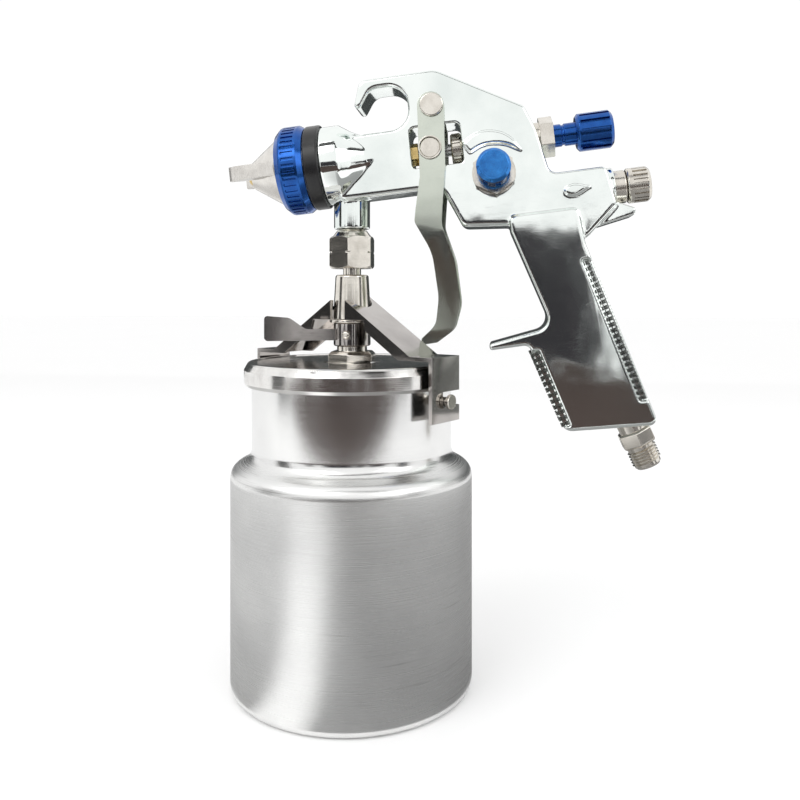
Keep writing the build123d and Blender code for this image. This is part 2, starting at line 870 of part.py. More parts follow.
with BuildPart() as fluid_packing_nut:
    revolve(section(gun, *bar(20.1, window_front + 0.05, 4.5)), axis=gun_axis)
    extrude(hex_at(square_to(place(window_front + 0.05, 0), along), 9.0), amount=2.6)
    bore(gun, gun_axis, 20.0, 40.0, needle_radius + running)
save(fluid_packing_nut, "fluid_packing_nut")

# ---------- trigger ----------
pivot_at = place(pivot_along, pivot_up)
bush_at = place(bush_along, 0)
trigger_outside = trigger_inside + trigger_sheet
plate_half = 5.9
trigger_outline = [
    (pivot_along - plate_half, pivot_up + plate_half, plate_half - 0.1),
    (pivot_along + plate_half, pivot_up + plate_half, plate_half - 0.1),
    (bush_along + plate_half, -8.0, 6.0),
    (38.6, -34.0, 10.0),
    (42.4, -50.0, 25.0),
    (42.8, -70.0, 16.0),
    (38.6, -81.0, 8.0),
    (30.4, -85.8, 1.6),
    (23.2, -86.2, 1.0),
    (23.6, -83.2, 1.0),
    (30.6, -78.0, 8.0),
    (33.4, -66.0, 25.0),
    (33.0, -46.0, 25.0),
    (26.8, -31.5, 4.0),
    (28.0, -26.0, 4.0),
    (bush_along - plate_half, -12.0, 6.0),
]
cross = square_to(gun.origin, along)


def taper(top_half, low_half):
    """Front view of the trigger's width: parallel at the plates, narrowing to the finger's foot."""
    right = [(top_half, 30.0), (top_half, -38.0), (low_half, -80.0), (low_half, -95.0)]
    return section(cross.offset(15.0), *right, *[(-y, h) for y, h in reversed(right)])


with BuildPart() as hollow:
    extrude(
        outline(
            gun,
            [
                (20.0, 40.0, 1.0),
                (60.0, 40.0, 1.0),
                (60.0, -90.0, 1.0),
                (40.0, -90.0, 1.0),
                (35.0, -81.0, 6.0),
                (38.9, -69.0, 14.0),
                (38.4, -49.0, 25.0),
                (33.6, -36.0, 12.0),
                (30.0, -28.0, 4.0),
                (31.0, -22.0, 2.0),
                (20.0, -22.0, 1.0),
            ],
        ),
        amount=trigger_inside,
        both=True,
    )
    extrude(taper(trigger_inside, finger_half - trigger_sheet), amount=60, mode=Mode.INTERSECT)

with BuildPart() as trigger:
    extrude(outline(gun, trigger_outline), amount=trigger_outside, both=True)
    extrude(taper(trigger_outside, finger_half), amount=60, mode=Mode.INTERSECT)
    add(hollow.part, mode=Mode.SUBTRACT)
    for centre, radius in ((pivot_at, pivot_radius + running), (bush_at, bush_radius + running)):
        with BuildSketch(across(centre).offset(-20)):
            Circle(radius)
        extrude(amount=40, mode=Mode.SUBTRACT)
save(trigger, "trigger")

pin_head = 5.2
with BuildPart() as pivot_sleeve:
    with BuildSketch(across(pivot_at).offset(-trigger_outside - 0.1)):
        Circle(pivot_radius)
    extrude(amount=2 * trigger_outside + 0.2)
    with BuildSketch(across(pivot_at).offset(trigger_outside + 0.1)):
        Circle(pin_head)
    extrude(amount=1.4)
    chamfer(pivot_sleeve.edges().filter_by(GeomType.CIRCLE).sort_by(Axis.Y)[0], 0.4)
    with BuildSketch(across(pivot_at).offset(-trigger_outside - 0.2)):
        Circle(1.6 + 0.02)
    extrude(amount=10, mode=Mode.SUBTRACT)
save(pivot_sleeve, "pivot_sleeve")

with BuildPart() as pivot_screw:
    with BuildSketch(across(pivot_at).offset(-trigger_outside - 1.6)):
        Circle(pin_head)
    extrude(amount=1.4)
    chamfer(pivot_screw.edges().filter_by(GeomType.CIRCLE).sort_by(Axis.Y)[-1], 0.4)
    with BuildSketch(across(pivot_at).offset(-trigger_outside - 0.3)):
        Circle(1.6)
    extrude(amount=9.5)
    with BuildSketch(across(pivot_at).offset(-trigger_outside - 1.7)):
        Rectangle(1.2, 7.4)
    extrude(amount=0.8, mode=Mode.SUBTRACT)
save(pivot_screw, "pivot_screw")

with BuildPart() as trigger_bush:
    with BuildSketch(across(bush_at).offset(-trigger_outside - 0.2)):
        Circle(bush_radius)
    extrude(amount=2 * trigger_outside + 0.4)
    chamfer(trigger_bush.edges().filter_by(GeomType.CIRCLE), 0.4)
    with BuildSketch(square_to(bush_at - along * 10, along)):
        SlotCenterToCenter(1.2, 2 * (needle_radius + 0.35), rotation=90)
    extrude(amount=20, mode=Mode.SUBTRACT)
save(trigger_bush, "trigger_bush")

with BuildPart() as bush_washers:
    for side in (1, -1):
        level = trigger_outside + 0.15 if side > 0 else -trigger_outside - 1.15
        with BuildSketch(across(bush_at).offset(level)):
            Circle(pin_head)
            Circle(bush_radius + 0.02, mode=Mode.SUBTRACT)
        extrude(amount=1.0)
save(bush_washers, "bush_washers")

# ---------- valve and needle ----------
with BuildPart() as valve_stem:
    stem_front = bush_along + bush_radius + 0.1
    revolve(
        section(
            gun,
            (stem_front, needle_radius + 0.08),
            (stem_front, stem_radius),
            (seat_front + 2.4, stem_radius),
            (seat_front + 2.4, 5.4),
            (valve_back - 1.0, 5.4),
            (valve_back, 3.6),
            (valve_back, needle_radius + 0.08),
        ),
        axis=gun_axis,
    )
save(valve_stem, "valve_stem")

with BuildPart() as valve_seat:
    revolve(section(gun, *bar(seat_front, seat_front + 1.4, valve_chamber - 0.02, 4.0)), axis=gun_axis)
save(valve_seat, "valve_seat")

with BuildPart() as valve_seal:
    revolve(section(gun, *bar(seat_front + 1.6, seat_front + 2.4, 5.2, stem_radius + 0.01)), axis=gun_axis)
save(valve_seal, "valve_seal")

with BuildPart() as air_packing_nut:
    knurl_front = bush_along + bush_radius + bush_travel + free_gap
    revolve(
        section(
            gun,
            (knurl_front, stem_radius + running),
            (knurl_front, 6.4),
            (knurl_front + 0.8, 7.2),
            (window_rear - 0.9, 7.2),
            (window_rear - 0.1, 6.4),
            (window_rear - 0.1, packing_thread),
            (seat_front - 0.1, packing_thread),
            (seat_front - 0.1, stem_radius + running),
        ),
        axis=gun_axis,
    )
save(air_packing_nut, "air_packing_nut")

with BuildPart() as fluid_needle:
    revolve(
        section(
            gun,
            (-46.2, 0),
            (-46.2, orifice - 0.15),
            (-45.0, orifice),
            (-42.0, needle_radius),
            (needle_tail, needle_radius),
            (needle_tail, 0),
        ),
        axis=gun_axis,
    )
save(fluid_needle, "fluid_needle")

with BuildPart() as needle_collar:
    collar_front = valve_back + lost_motion + 0.05
    revolve(section(gun, *bar(collar_front, collar_front + 2.2, 3.1, needle_radius + 0.01)), axis=gun_axis)
save(needle_collar, "needle_collar")

springs = (
    ("valve_spring", valve_back + 0.1, gland_front - 0.1, 5, 4.6, 0.45),
    ("needle_spring", collar_front + 2.3, needle_tail - 0.8, 9, 2.55, 0.35),
)
for label, start, stop, turns, coil_radius, wire_radius in springs:
    coil_length = stop - start - 2 * wire_radius
    with BuildPart() as spring:
        with BuildLine() as coil:
            Helix(coil_length / turns, coil_length, coil_radius, place(start + wire_radius, 0), along)
        coil_wire = coil.wires()[0]
        with BuildSketch(Plane(origin=coil_wire @ 0, z_dir=coil_wire % 0)):
            Circle(wire_radius)
        sweep(path=coil_wire, is_frenet=True)
    save(spring, label)

# ---------- rear fluid control ----------
hex_rear = gland_rear + gland_nut_length
with BuildPart() as fluid_gland:
    revolve(section(gun, *bar(gland_front, gland_rear, valve_chamber - 0.05)), axis=gun_axis)
    extrude(hex_at(square_to(place(gland_rear, 0), along), gland_nut_flats), amount=gland_nut_length)
    bore(gun, gun_axis, gland_front - 1, gland_rear, 4.2)
    bore(gun, gun_axis, gland_rear - 1, hex_rear + 1, screw_radius + running)
save(fluid_gland, "fluid_gland")

with BuildPart() as fluid_stem:
    revolve(
        section(
            gun,
            (hex_rear + 0.05, screw_radius + running),
            (hex_rear + 0.05, blue_stem_radius),
            (hex_rear + 3.4, blue_stem_radius),
            (hex_rear + 3.8, blue_stem_radius - 0.6),
            (hex_rear + 4.6, blue_stem_radius - 0.6),
            (hex_rear + 5.0, blue_stem_radius),
            (blue_stem_end, blue_stem_radius),
            (blue_stem_end, screw_radius + running),
        ),
        axis=gun_axis,
    )
save(fluid_stem, "fluid_stem")

with BuildPart() as spring_seat:
    seat_ring = bar(needle_tail - 0.7, screw_tip - 0.1, screw_radius - 0.05, needle_radius + 0.1)
    revolve(section(gun, *seat_ring), axis=gun_axis)
save(spring_seat, "spring_seat")

with BuildPart() as fluid_knob:
    pocket = blue_stem_end + fluid_travel + 0.5
    revolve(
        section(
            gun,
            (screw_tip, needle_radius + 0.3),
            (screw_tip, screw_radius),
            (pocket, screw_radius),
            (pocket, blue_stem_radius + 0.25),
            (fluid_knob_front, blue_stem_radius + 0.25),
            (fluid_knob_front, fluid_knob_radius - 1.4),
            (fluid_knob_front + 1.2, fluid_knob_radius),
            (fluid_knob_rear - 1.4, fluid_knob_radius),
            (fluid_knob_rear, fluid_knob_radius - 1.4),
            (fluid_knob_rear, 0),
            (screw_floor, 0),
            (screw_floor, needle_radius + 0.3),
        ),
        axis=gun_axis,
    )
save(fluid_knob, "fluid_knob")

# ---------- fan control ----------
fan_axis = Axis(fan.origin, fan.z_dir)
fan_side = Plane(origin=fan.origin, x_dir=fan.z_dir, z_dir=(1, 0, 0))
boss_end = barrel_half + 7.0
with BuildPart() as fan_valve_body:
    revolve(section(fan_side, *bar(-2.0, barrel_half + 0.1, fan_bore)), axis=fan_axis)
    flange_radius = fan_boss_flats / 2 + 1.0
    revolve(section(fan_side, *bar(barrel_half + 0.1, barrel_half + 2.6, flange_radius)), axis=fan_axis)
    extrude(hex_at(fan.offset(barrel_half + 2.6), fan_boss_flats), amount=boss_end - barrel_half - 2.6)
    bore(fan_side, fan_axis, -3.0, 9.0, 3.0 + running)
    bore(fan_side, fan_axis, 8.0, boss_end + 1, 3.7)
save(fan_valve_body, "fan_valve_body")

fan_knob_front = boss_end + fan_travel + 0.5
fan_knob_rear = 35.0
with BuildPart() as fan_knob:
    revolve(
        section(
            fan_side,
            (1.0, 0),
            (4.0, 3.0),
            (12.0, 3.0),
            (12.0, 2.3),
            (14.0, 2.3),
            (14.0, 3.0),
            (fan_knob_front, 3.0),
            (fan_knob_front, fan_knob_radius - 0.8),
            (fan_knob_front + 0.8, fan_knob_radius),
            (fan_knob_rear - 1.2, fan_knob_radius),
            (fan_knob_rear, fan_knob_radius - 1.2),
            (fan_knob_rear, 0),
        ),
        axis=fan_axis,
    )
save(fan_knob, "fan_knob")

with BuildPart() as fan_oring:
    with BuildSketch(fan_side):
        with Locations((13.0, 2.98)):
            Circle(0.62)
    revolve(axis=fan_axis)
save(fan_oring, "fan_oring")

# ---------- air control ----------
air_collar_end = air_face + 5.2
with BuildPart() as air_valve_housing:
    revolve(section(air, *bar(100.0, air_face + 0.05, air_bore)), axis=air_axis)
    revolve(section(air, *bar(air_face + 0.05, air_collar_end, air_collar_radius)), axis=air_axis)
    chamfer(air_valve_housing.edges().filter_by(GeomType.CIRCLE).sort_by(Axis.X)[-1], 0.6)
    bore(air, air_axis, 99.0, 112.0, 3.0 + running)
    bore(air, air_axis, 111.0, air_collar_end + 1, 3.7)
save(air_valve_housing, "air_valve_housing")

air_knob_front = air_collar_end + free_gap
air_knob_rear = air_knob_front + 10.0
with BuildPart() as air_knob:
    revolve(
        section(
            air,
            (101.0, 0),
            (104.0, 3.0),
            (113.6, 3.0),
            (113.6, 2.3),
            (115.6, 2.3),
            (115.6, 3.0),
            (air_knob_front, 3.0),
            (air_knob_front, air_knob_radius - 0.6),
            (air_knob_front + 0.6, air_knob_radius),
            (air_knob_rear - 1.0, air_knob_radius),
            (air_knob_rear, air_knob_radius - 1.0),
            (air_knob_rear, 0),
        ),
        axis=air_axis,
    )
save(air_knob, "air_knob")

with BuildPart() as air_oring:
    with BuildSketch(air):
        with Locations((114.6, 2.98)):
            Circle(0.62)
    revolve(axis=air_axis)
save(air_oring, "air_oring")

# ---------- air inlet ----------
with BuildPart() as air_inlet_nipple:
    extrude(hex_at(inlet.offset(0.05), inlet_flats), amount=inlet_hex)
    with BuildSketch(inlet.offset(-11.5)):
        Circle(6.0)
    extrude(amount=11.6)
    with BuildSketch(inlet.offset(inlet_hex)):
        Circle(inlet_thread_radius)
    extrude(amount=inlet_thread_length + 0.05)
    with BuildSketch(inlet.offset(-12)):
        Circle(inlet_bore - 0.2)
    extrude(amount=40, mode=Mode.SUBTRACT)
save(air_inlet_nipple, "air_inlet_nipple")
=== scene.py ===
"""Looks of a suction-feed spray gun on its cup: shapes, finishes, studio and camera."""

from __future__ import annotations

import logging
import math
from collections.abc import Callable, Sequence
from dataclasses import dataclass, field
from enum import Enum

import bmesh
import bpy
from mathutils import Matrix, Vector
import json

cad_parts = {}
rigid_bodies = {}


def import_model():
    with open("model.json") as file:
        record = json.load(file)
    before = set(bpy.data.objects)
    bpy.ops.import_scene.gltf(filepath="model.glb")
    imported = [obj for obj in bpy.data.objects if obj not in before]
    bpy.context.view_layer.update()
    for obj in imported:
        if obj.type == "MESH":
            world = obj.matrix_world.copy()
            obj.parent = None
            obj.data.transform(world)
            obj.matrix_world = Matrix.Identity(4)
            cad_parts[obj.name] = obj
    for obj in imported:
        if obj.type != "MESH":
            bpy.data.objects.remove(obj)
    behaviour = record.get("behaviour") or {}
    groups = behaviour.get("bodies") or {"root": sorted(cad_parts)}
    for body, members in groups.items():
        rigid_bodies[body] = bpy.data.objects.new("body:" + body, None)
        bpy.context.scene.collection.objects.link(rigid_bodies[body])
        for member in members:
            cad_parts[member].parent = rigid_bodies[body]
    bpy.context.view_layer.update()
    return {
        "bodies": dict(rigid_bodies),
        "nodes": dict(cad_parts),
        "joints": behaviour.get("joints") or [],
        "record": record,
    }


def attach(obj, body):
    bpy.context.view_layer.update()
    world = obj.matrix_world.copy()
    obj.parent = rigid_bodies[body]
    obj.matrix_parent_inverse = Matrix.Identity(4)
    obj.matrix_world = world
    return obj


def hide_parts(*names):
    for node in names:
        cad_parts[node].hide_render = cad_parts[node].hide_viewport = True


LOG = logging.getLogger("spray_gun")
MM = Matrix.Scale(0.001, 4)
Profile = Sequence[tuple[float, float, float]]
Colour = tuple[float, float, float]
Piece = bpy.types.Object
Look = bpy.types.Material


class Slot(Enum):
    """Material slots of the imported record."""

    CUP = "cup_aluminium"
    LID = "lid_metal"
    BODY = "body_chrome"
    DARK = "dark_chrome"
    NICKEL = "nickel"
    BRASS = "brass"
    CAP = "cap_nickel"
    BLUE = "blue_anodised"
    BLACK = "black_plastic"


# ---------------------------------------------------------------- places


@dataclass(frozen=True)
class Axle:
    """A line that round pieces are turned about.

    Args:
        point: A point on the line, in millimetres.
        direction: Unit vector along the line.
        side: Unit vector square to it, the local x of what is placed on it.
    """

    point: Vector
    direction: Vector
    side: Vector = field(default_factory=lambda: Vector((0, 1, 0)))

    def placement(self) -> Matrix:
        """Matrix that takes local z to the line and local x to its side, in millimetres."""
        z = self.direction.normalized()
        x = (self.side - z * self.side.dot(z)).normalized()
        turn = Matrix((x, z.cross(x), z)).transposed().to_4x4()
        return Matrix.Translation(self.point) @ turn


class Places:
    """Axles of the gun, read from the joints of the frame."""

    def __init__(self, frame: dict) -> None:
        """Finds each axle.

        Args:
            frame: What the frame's load call returned.
        """
        joints = {joint["name"]: joint for joint in frame["joints"]}
        mounts = {mount["name"]: mount for mount in frame["record"]["mounts"]}
        self.along = Vector(joints["air_valve_slide"]["axis"]).normalized()
        on_axis = Vector(joints["ring_turn"]["pos_m"]) * 1000
        self.origin = on_axis - self.along * (on_axis.x / self.along.x)
        self.up = Vector((-self.along.z, 0, self.along.x))
        self.cup = Axle(Vector((0, 0, 0)), Vector((0, 0, 1)))
        self.gun = Axle(self.origin, self.along)
        self.fan = Axle(self._pivot(joints, "fan_knob_turn"), Vector((0, -1, 0)), self.along)
        air_on = self._pivot(joints, "air_knob_turn")
        drop = (air_on - self.origin).dot(self.up)
        self.air = Axle(self.origin + self.up * drop, self.along)
        lean = Vector(mounts["air_inlet"]["axis"])
        self.inlet = Axle(Vector(mounts["air_inlet"]["pos_m"]) * 1000, lean)

    @staticmethod
    def _pivot(joints: dict, name: str) -> Vector:
        """The place of a joint, in millimetres."""
        return Vector(joints[name]["pos_m"]) * 1000

    def plane(self) -> Matrix:
        """Matrix of the gun's middle plane: x along, y up from it, z to the near side."""
        turn = Matrix((self.along, self.up, Vector((0, -1, 0)))).transposed().to_4x4()
        return Matrix.Translation(self.origin) @ turn


# ---------------------------------------------------------------- modelling


def rounded_profile(corners: Profile, steps: int = 4) -> list[tuple[float, float]]:
    """Turns corners with radii into a plain list of stations.

    Args:
        corners: (along, radius, corner radius) for each corner, in millimetres.
        steps: Number of edges in each rounded corner.

    Returns:
        (along, radius) stations.
    """
    stations: list[tuple[float, float]] = []
    for index, (along, out, bend) in enumerate(corners):
        if bend <= 0 or index in (0, len(corners) - 1):
            stations.append((along, out))
            continue
        here = Vector((along, out))
        before = Vector(corners[index - 1][:2]) - here
        after = Vector(corners[index + 1][:2]) - here
        half = before.angle(after) / 2
        reach = min(bend / math.tan(half), before.length * 0.49, after.length * 0.49)
        start = here + before.normalized() * reach
        end = here + after.normalized() * reach
        for step in range(steps + 1):
            t = step / steps
            point = start.lerp(here, t).lerp(here.lerp(end, t), t)
            stations.append((point.x, point.y))
    return stations


@dataclass(frozen=True)
class Flutes:
    """Straight grooves round a turned piece.

    Args:
        count: Number of grooves.
        taken: Sides of the circle that a groove takes.
        pitch: Sides from groove to groove.
        depth: How deep the grooves are, in millimetres.
        edge: Bevel on the piece's edges, in millimetres.
        steps: Steps of that bevel.
    """

    count: int
    taken: int
    pitch: int
    depth: float
    edge: float
    steps: int = 2

    def sides(self) -> int:
        """Sides of the circle that the grooves need."""
        return self.count * self.pitch


class Workshop:
    """Modelling steps that the sub-assemblies share.

    Args:
        made_merge: Points of a turned piece closer than this become one, in millimetres.
        carried_merge: The same for a copied CAD mesh.
        flat_within: Faces of a copied mesh within this angle become one, in degrees.
        sharp: Edges beyond this angle are rounded and shaded sharp, in degrees.
        disc_sides: A face with more corners than this is the disc a turned piece starts from.
        soft_edge: Rounding of a raised outline, in millimetres.
    """

    made_merge = 0.0005
    carried_merge = 0.002
    flat_within = 0.6
    sharp = 32
    disc_sides = 8
    soft_edge = 0.3

    @staticmethod
    def alone(*chosen: Piece) -> None:
        """Selects only the chosen objects and makes the first one active."""
        bpy.ops.object.select_all(action="DESELECT")
        for piece in chosen:
            piece.select_set(True)
        bpy.context.view_layer.objects.active = chosen[0] if chosen else None

    @classmethod
    def edit(cls, piece: Piece, mode: str = "FACE") -> None:
        """Opens a piece in edit mode with nothing selected."""
        cls.alone(piece)
        bpy.ops.object.mode_set(mode="EDIT")
        bpy.ops.mesh.select_mode(type=mode)
        bpy.ops.mesh.select_all(action="DESELECT")

    @staticmethod
    def pick(piece: Piece, test: Callable[[Vector, Vector], bool]) -> None:
        """Selects the faces that pass a test of centre and normal.

        Args:
            piece: The object that is open in edit mode.
            test: Takes a face's centre and normal.
        """
        mesh = bmesh.from_edit_mesh(piece.data)
        for face in mesh.faces:
            face.select_set(test(face.calc_center_median(), face.normal))
        mesh.select_flush_mode()
        bmesh.update_edit_mesh(piece.data)

    @classmethod
    def turned(
        cls,
        name: str,
        stations: Sequence[tuple[float, float]],
        segments: int,
        ring: bool = False,
    ) -> Piece:
        """Turns a shape about local z by extruding a circle from station to station.

        Args:
            name: The piece's name.
            stations: (along, radius) in millimetres, no radius zero.
            segments: Sides of the circle.
            ring: True joins the last station to the first, and False closes both with a disc.

        Returns:
            The new object, in millimetres about the origin.
        """
        bpy.ops.object.select_all(action="DESELECT")
        first = stations[0]
        fill = "NOTHING" if ring else "NGON"
        bpy.ops.mesh.primitive_circle_add(vertices=segments, radius=first[1], fill_type=fill)
        piece = bpy.context.object
        piece.name = piece.data.name = name
        bpy.ops.object.mode_set(mode="EDIT")
        bpy.ops.mesh.select_mode(type="EDGE")
        bpy.ops.mesh.select_all(action="SELECT")
        bpy.ops.transform.translate(value=(0, 0, first[0]))
        course = [*stations, first] if ring else stations
        for (low, start), (high, end) in zip(course, course[1:]):
            move = {"value": (0, 0, high - low)}
            from_disc = not ring and (low, start) == first
            if from_disc:
                bpy.ops.mesh.extrude_region_move(TRANSFORM_OT_translate=move)
            else:
                bpy.ops.mesh.extrude_edges_move(TRANSFORM_OT_translate=move)
            share = end / start
            bpy.ops.transform.resize(value=(share, share, 1), center_override=(0, 0, high))
            if from_disc:
                cls._rim_only(piece)
        if not ring:
            bpy.ops.mesh.edge_face_add()
        bpy.ops.mesh.select_all(action="SELECT")
        bpy.ops.mesh.remove_doubles(threshold=cls.made_merge)
        bpy.ops.mesh.normals_make_consistent(inside=False)
        bpy.ops.object.mode_set(mode="OBJECT")
        return piece

    @staticmethod
    def _rim_only(piece: Piece) -> None:
        """Leaves only the outer edges of the moved disc selected, and drops the disc."""
        mesh = bmesh.from_edit_mesh(piece.data)
        sides = Workshop.disc_sides
        moved = [face for face in mesh.faces if face.select and len(face.verts) > sides]
        rims = [edge for face in moved for edge in face.edges]
        bmesh.ops.delete(mesh, geom=moved, context="FACES_ONLY")
        for edge in mesh.edges:
            edge.select_set(False)
        for edge in rims:
            edge.select_set(True)
        bmesh.update_edit_mesh(piece.data)

    @classmethod
    def fluted(
        cls,
        name: str,
        corners: Profile,
        flutes: Flutes,
        band: tuple[float, float],
        ring: bool = False,
        bends: int = 3,
    ) -> Piece:
        """Turns a piece, sinks straight grooves round it and rounds its edges.

        Args:
            name: The piece's name.
            corners: (along, radius, corner radius) in millimetres.
            flutes: The grooves.
            band: Lowest and highest place of the grooves along the axis.
            ring: True for a piece that is open through its middle.
            bends: Edges in each rounded corner.

        Returns:
            The new object, in millimetres about the origin.
        """
        piece = cls.turned(name, rounded_profile(corners, bends), flutes.sides(), ring)
        step = math.tau / flutes.sides()

        def in_groove(centre: Vector, normal: Vector) -> bool:
            """True on the outer skin, in the band and in a groove's turn."""
            outward = normal.x * centre.x + normal.y * centre.y
            turn = math.floor((math.atan2(centre.y, centre.x) % math.tau) / step)
            on_skin = outward > 0.5 * centre.xy.length
            return on_skin and band[0] < centre.z < band[1] and turn % flutes.pitch < flutes.taken

        cls.edit(piece)
        cls.pick(piece, in_groove)
        sink = {"value": -flutes.depth}
        bpy.ops.mesh.extrude_region_shrink_fatten(TRANSFORM_OT_shrink_fatten=sink)
        bpy.ops.object.mode_set(mode="OBJECT")
        cls.bevelled(piece, flutes.edge, flutes.steps)
        return piece

    @classmethod
    def bevelled(cls, piece: Piece, width: float, steps: int = 2) -> None:
        """Rounds the sharp edges of a piece with an applied bevel."""
        cls.alone(piece)
        bevel = piece.modifiers.new("round", "BEVEL")
        bevel.width = width
        bevel.segments = steps
        bevel.limit_method = "ANGLE"
        bevel.angle_limit = math.radians(cls.sharp)
        bpy.ops.object.modifier_apply(modifier=bevel.name)

    @classmethod
    def carried(cls, node: str, name: str) -> Piece:
        """Copies a CAD node's mesh into a new piece in millimetres, merged and cleaned.

        Args:
            node: The CAD node.
            name: The new piece's name.

        Returns:
            The new object.
        """
        source = bpy.data.objects[node]
        piece = bpy.data.objects.new(name, source.data.copy())
        bpy.context.scene.collection.objects.link(piece)
        piece.data.transform(MM.inverted())
        piece.data.materials.clear()
        cls.edit(piece)
        bpy.ops.mesh.select_all(action="SELECT")
        bpy.ops.mesh.remove_doubles(threshold=cls.carried_merge)
        bpy.ops.mesh.customdata_custom_splitnormals_clear()
        bpy.ops.object.mode_set(mode="OBJECT")
        return piece

    @classmethod
    def softened(cls, node: str, name: str, width: float) -> Piece:
        """A merged copy of a CAD node with its sharp edges rounded.

        Args:
            node: The CAD node.
            name: The new piece's name.
            width: Bevel width in millimetres.

        Returns:
            The new object, in millimetres.
        """
        piece = cls.carried(node, name)
        cls.edit(piece)
        bpy.ops.mesh.select_all(action="SELECT")
        bpy.ops.mesh.dissolve_limited(angle_limit=math.radians(cls.flat_within))
        bpy.ops.object.mode_set(mode="OBJECT")
        cls.bevelled(piece, width)
        return piece

    @classmethod
    def rounded(
        cls,
        node: str,
        width: float,
        finish: Look,
        body: str,
        slot: Slot,
        name: str = "",
    ) -> None:
        """Stands a rounded copy in for a CAD node.

        Args:
            node: The CAD node.
            width: Bevel width in millimetres.
            finish: Its material.
            body: The CAD body it moves with.
            slot: The record's slot, handed on to finished, which does not use it.
            name: The new piece's name, or nothing for the node's own with an ending.
        """
        piece = cls.softened(node, name or f"{node}_round", width)
        cls.finished(piece, Matrix(), finish, body, slot, node)

    @classmethod
    def joined(cls, *parts: Piece) -> Piece:
        """Joins parts into the first one."""
        cls.alone(*parts)
        bpy.ops.object.join()
        return parts[0]

    @classmethod
    def cast(cls, piece: Piece, grain: float, passes: int, keep: float) -> None:
        """Fuses joined parts into one skin with the soft blends of a casting.

        Args:
            piece: The joined parts, in millimetres.
            grain: Size of the skin's cells.
            passes: Smoothing passes.
            keep: Share of the faces that stay after thinning.
        """
        cls.alone(piece)
        skin = piece.modifiers.new("skin", "REMESH")
        skin.mode = "VOXEL"
        skin.voxel_size = grain
        soften = piece.modifiers.new("soften", "SMOOTH")
        soften.factor = 0.5
        soften.iterations = passes
        thin = piece.modifiers.new("thin", "DECIMATE")
        thin.ratio = keep
        for modifier in (skin, soften, thin):
            bpy.ops.object.modifier_apply(modifier=modifier.name)

    @classmethod
    def raised(
        cls, name: str, corners: Sequence[tuple[float, float, bool]], low: float, high: float
    ) -> Piece:
        """A flat raised shape with a smooth outline.

        Args:
            name: The piece's name.
            corners: (x, y, sharp) of the outline in millimetres.
            low: Where its underside lies on local z.
            high: Where its top lies.

        Returns:
            A mesh object in millimetres.
        """
        outline = bpy.data.curves.new(name, "CURVE")
        outline.dimensions = "2D"
        outline.fill_mode = "BOTH"
        outline.resolution_u = 8
        outline.extrude = (high - low) / 2 - cls.soft_edge
        outline.bevel_depth = cls.soft_edge
        outline.bevel_resolution = 2
        spline = outline.splines.new("BEZIER")
        spline.bezier_points.add(len(corners) - 1)
        spline.use_cyclic_u = True
        for point, (x, y, sharp) in zip(spline.bezier_points, corners):
            point.co = (x, y, 0)
            point.handle_left_type = point.handle_right_type = "VECTOR" if sharp else "AUTO"
        piece = bpy.data.objects.new(name, outline)
        bpy.context.scene.collection.objects.link(piece)
        cls.alone(piece)
        bpy.ops.object.convert(target="MESH")
        piece.data.transform(Matrix.Translation((0, 0, (low + high) / 2)))
        return piece

    @classmethod
    def finished(
        cls,
        piece: Piece,
        placement: Matrix,
        finish: Look,
        body: str,
        slot: Slot,
        *nodes: str,
        smooth: float = sharp,
        flats: bool = True,
    ) -> Piece:
        """Puts a piece in its place, shades it, dresses it and fixes it to its body.

        Args:
            piece: The object, in millimetres about its local origin.
            placement: Its place, in millimetres.
            finish: Its material.
            body: The CAD body it moves with.
            slot: The record's slot; not used.
            *nodes: The CAD nodes it stands for.
            smooth: Largest angle that is shaded smooth, in degrees.
            flats: True keeps large faces flat in the shading.

        Returns:
            The same object.
        """
        piece.data.transform(MM @ placement)
        piece.data.materials.clear()
        piece.data.materials.append(finish)
        cls.alone(piece)
        bpy.ops.object.shade_smooth_by_angle(angle=math.radians(smooth))
        if flats:
            weigh = piece.modifiers.new("weigh", "WEIGHTED_NORMAL")
            weigh.keep_sharp = True
            bpy.ops.object.modifier_apply(modifier=weigh.name)
        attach(piece, body)
        if nodes:
            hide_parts(*nodes)
        LOG.info("%s: %d faces on %s", piece.name, len(piece.data.polygons), body)
        return piece


# ---------------------------------------------------------------- shader kit


class Wire:
    """A value socket that reads as a number in shader maths."""

    def __init__(self, bench: "Bench", socket: bpy.types.NodeSocket) -> None:
        """Wraps a socket of one bench."""
        self.bench = bench
        self.socket = socket

    def _sum(self, operation: str, first: object, second: object) -> "Wire":
        """Adds one Math node."""
        values = {0: first, 1: second}
        return self.bench.wire("ShaderNodeMath", {"operation": operation}, values)

    def __add__(self, other: object) -> "Wire":
        """Sum."""
        return self._sum("ADD", self, other)

    __radd__ = __add__

    def __mul__(self, other: object) -> "Wire":
        """Product."""
        return self._sum("MULTIPLY", self, other)

    __rmul__ = __mul__

    def __sub__(self, other: object) -> "Wire":
        """Difference."""
        return self._sum("SUBTRACT", self, other)

    def __rsub__(self, other: object) -> "Wire":
        """Difference from a number."""
        return self._sum("SUBTRACT", other, self)

    def step(self, low: float, high: float) -> "Wire":
        """Ramp from 0 at low to 1 at high, held at both ends."""
        values = {"Value": self, "From Min": low, "From Max": high}
        return self.bench.wire("ShaderNodeMapRange", {"clamp": True}, values, "Result")


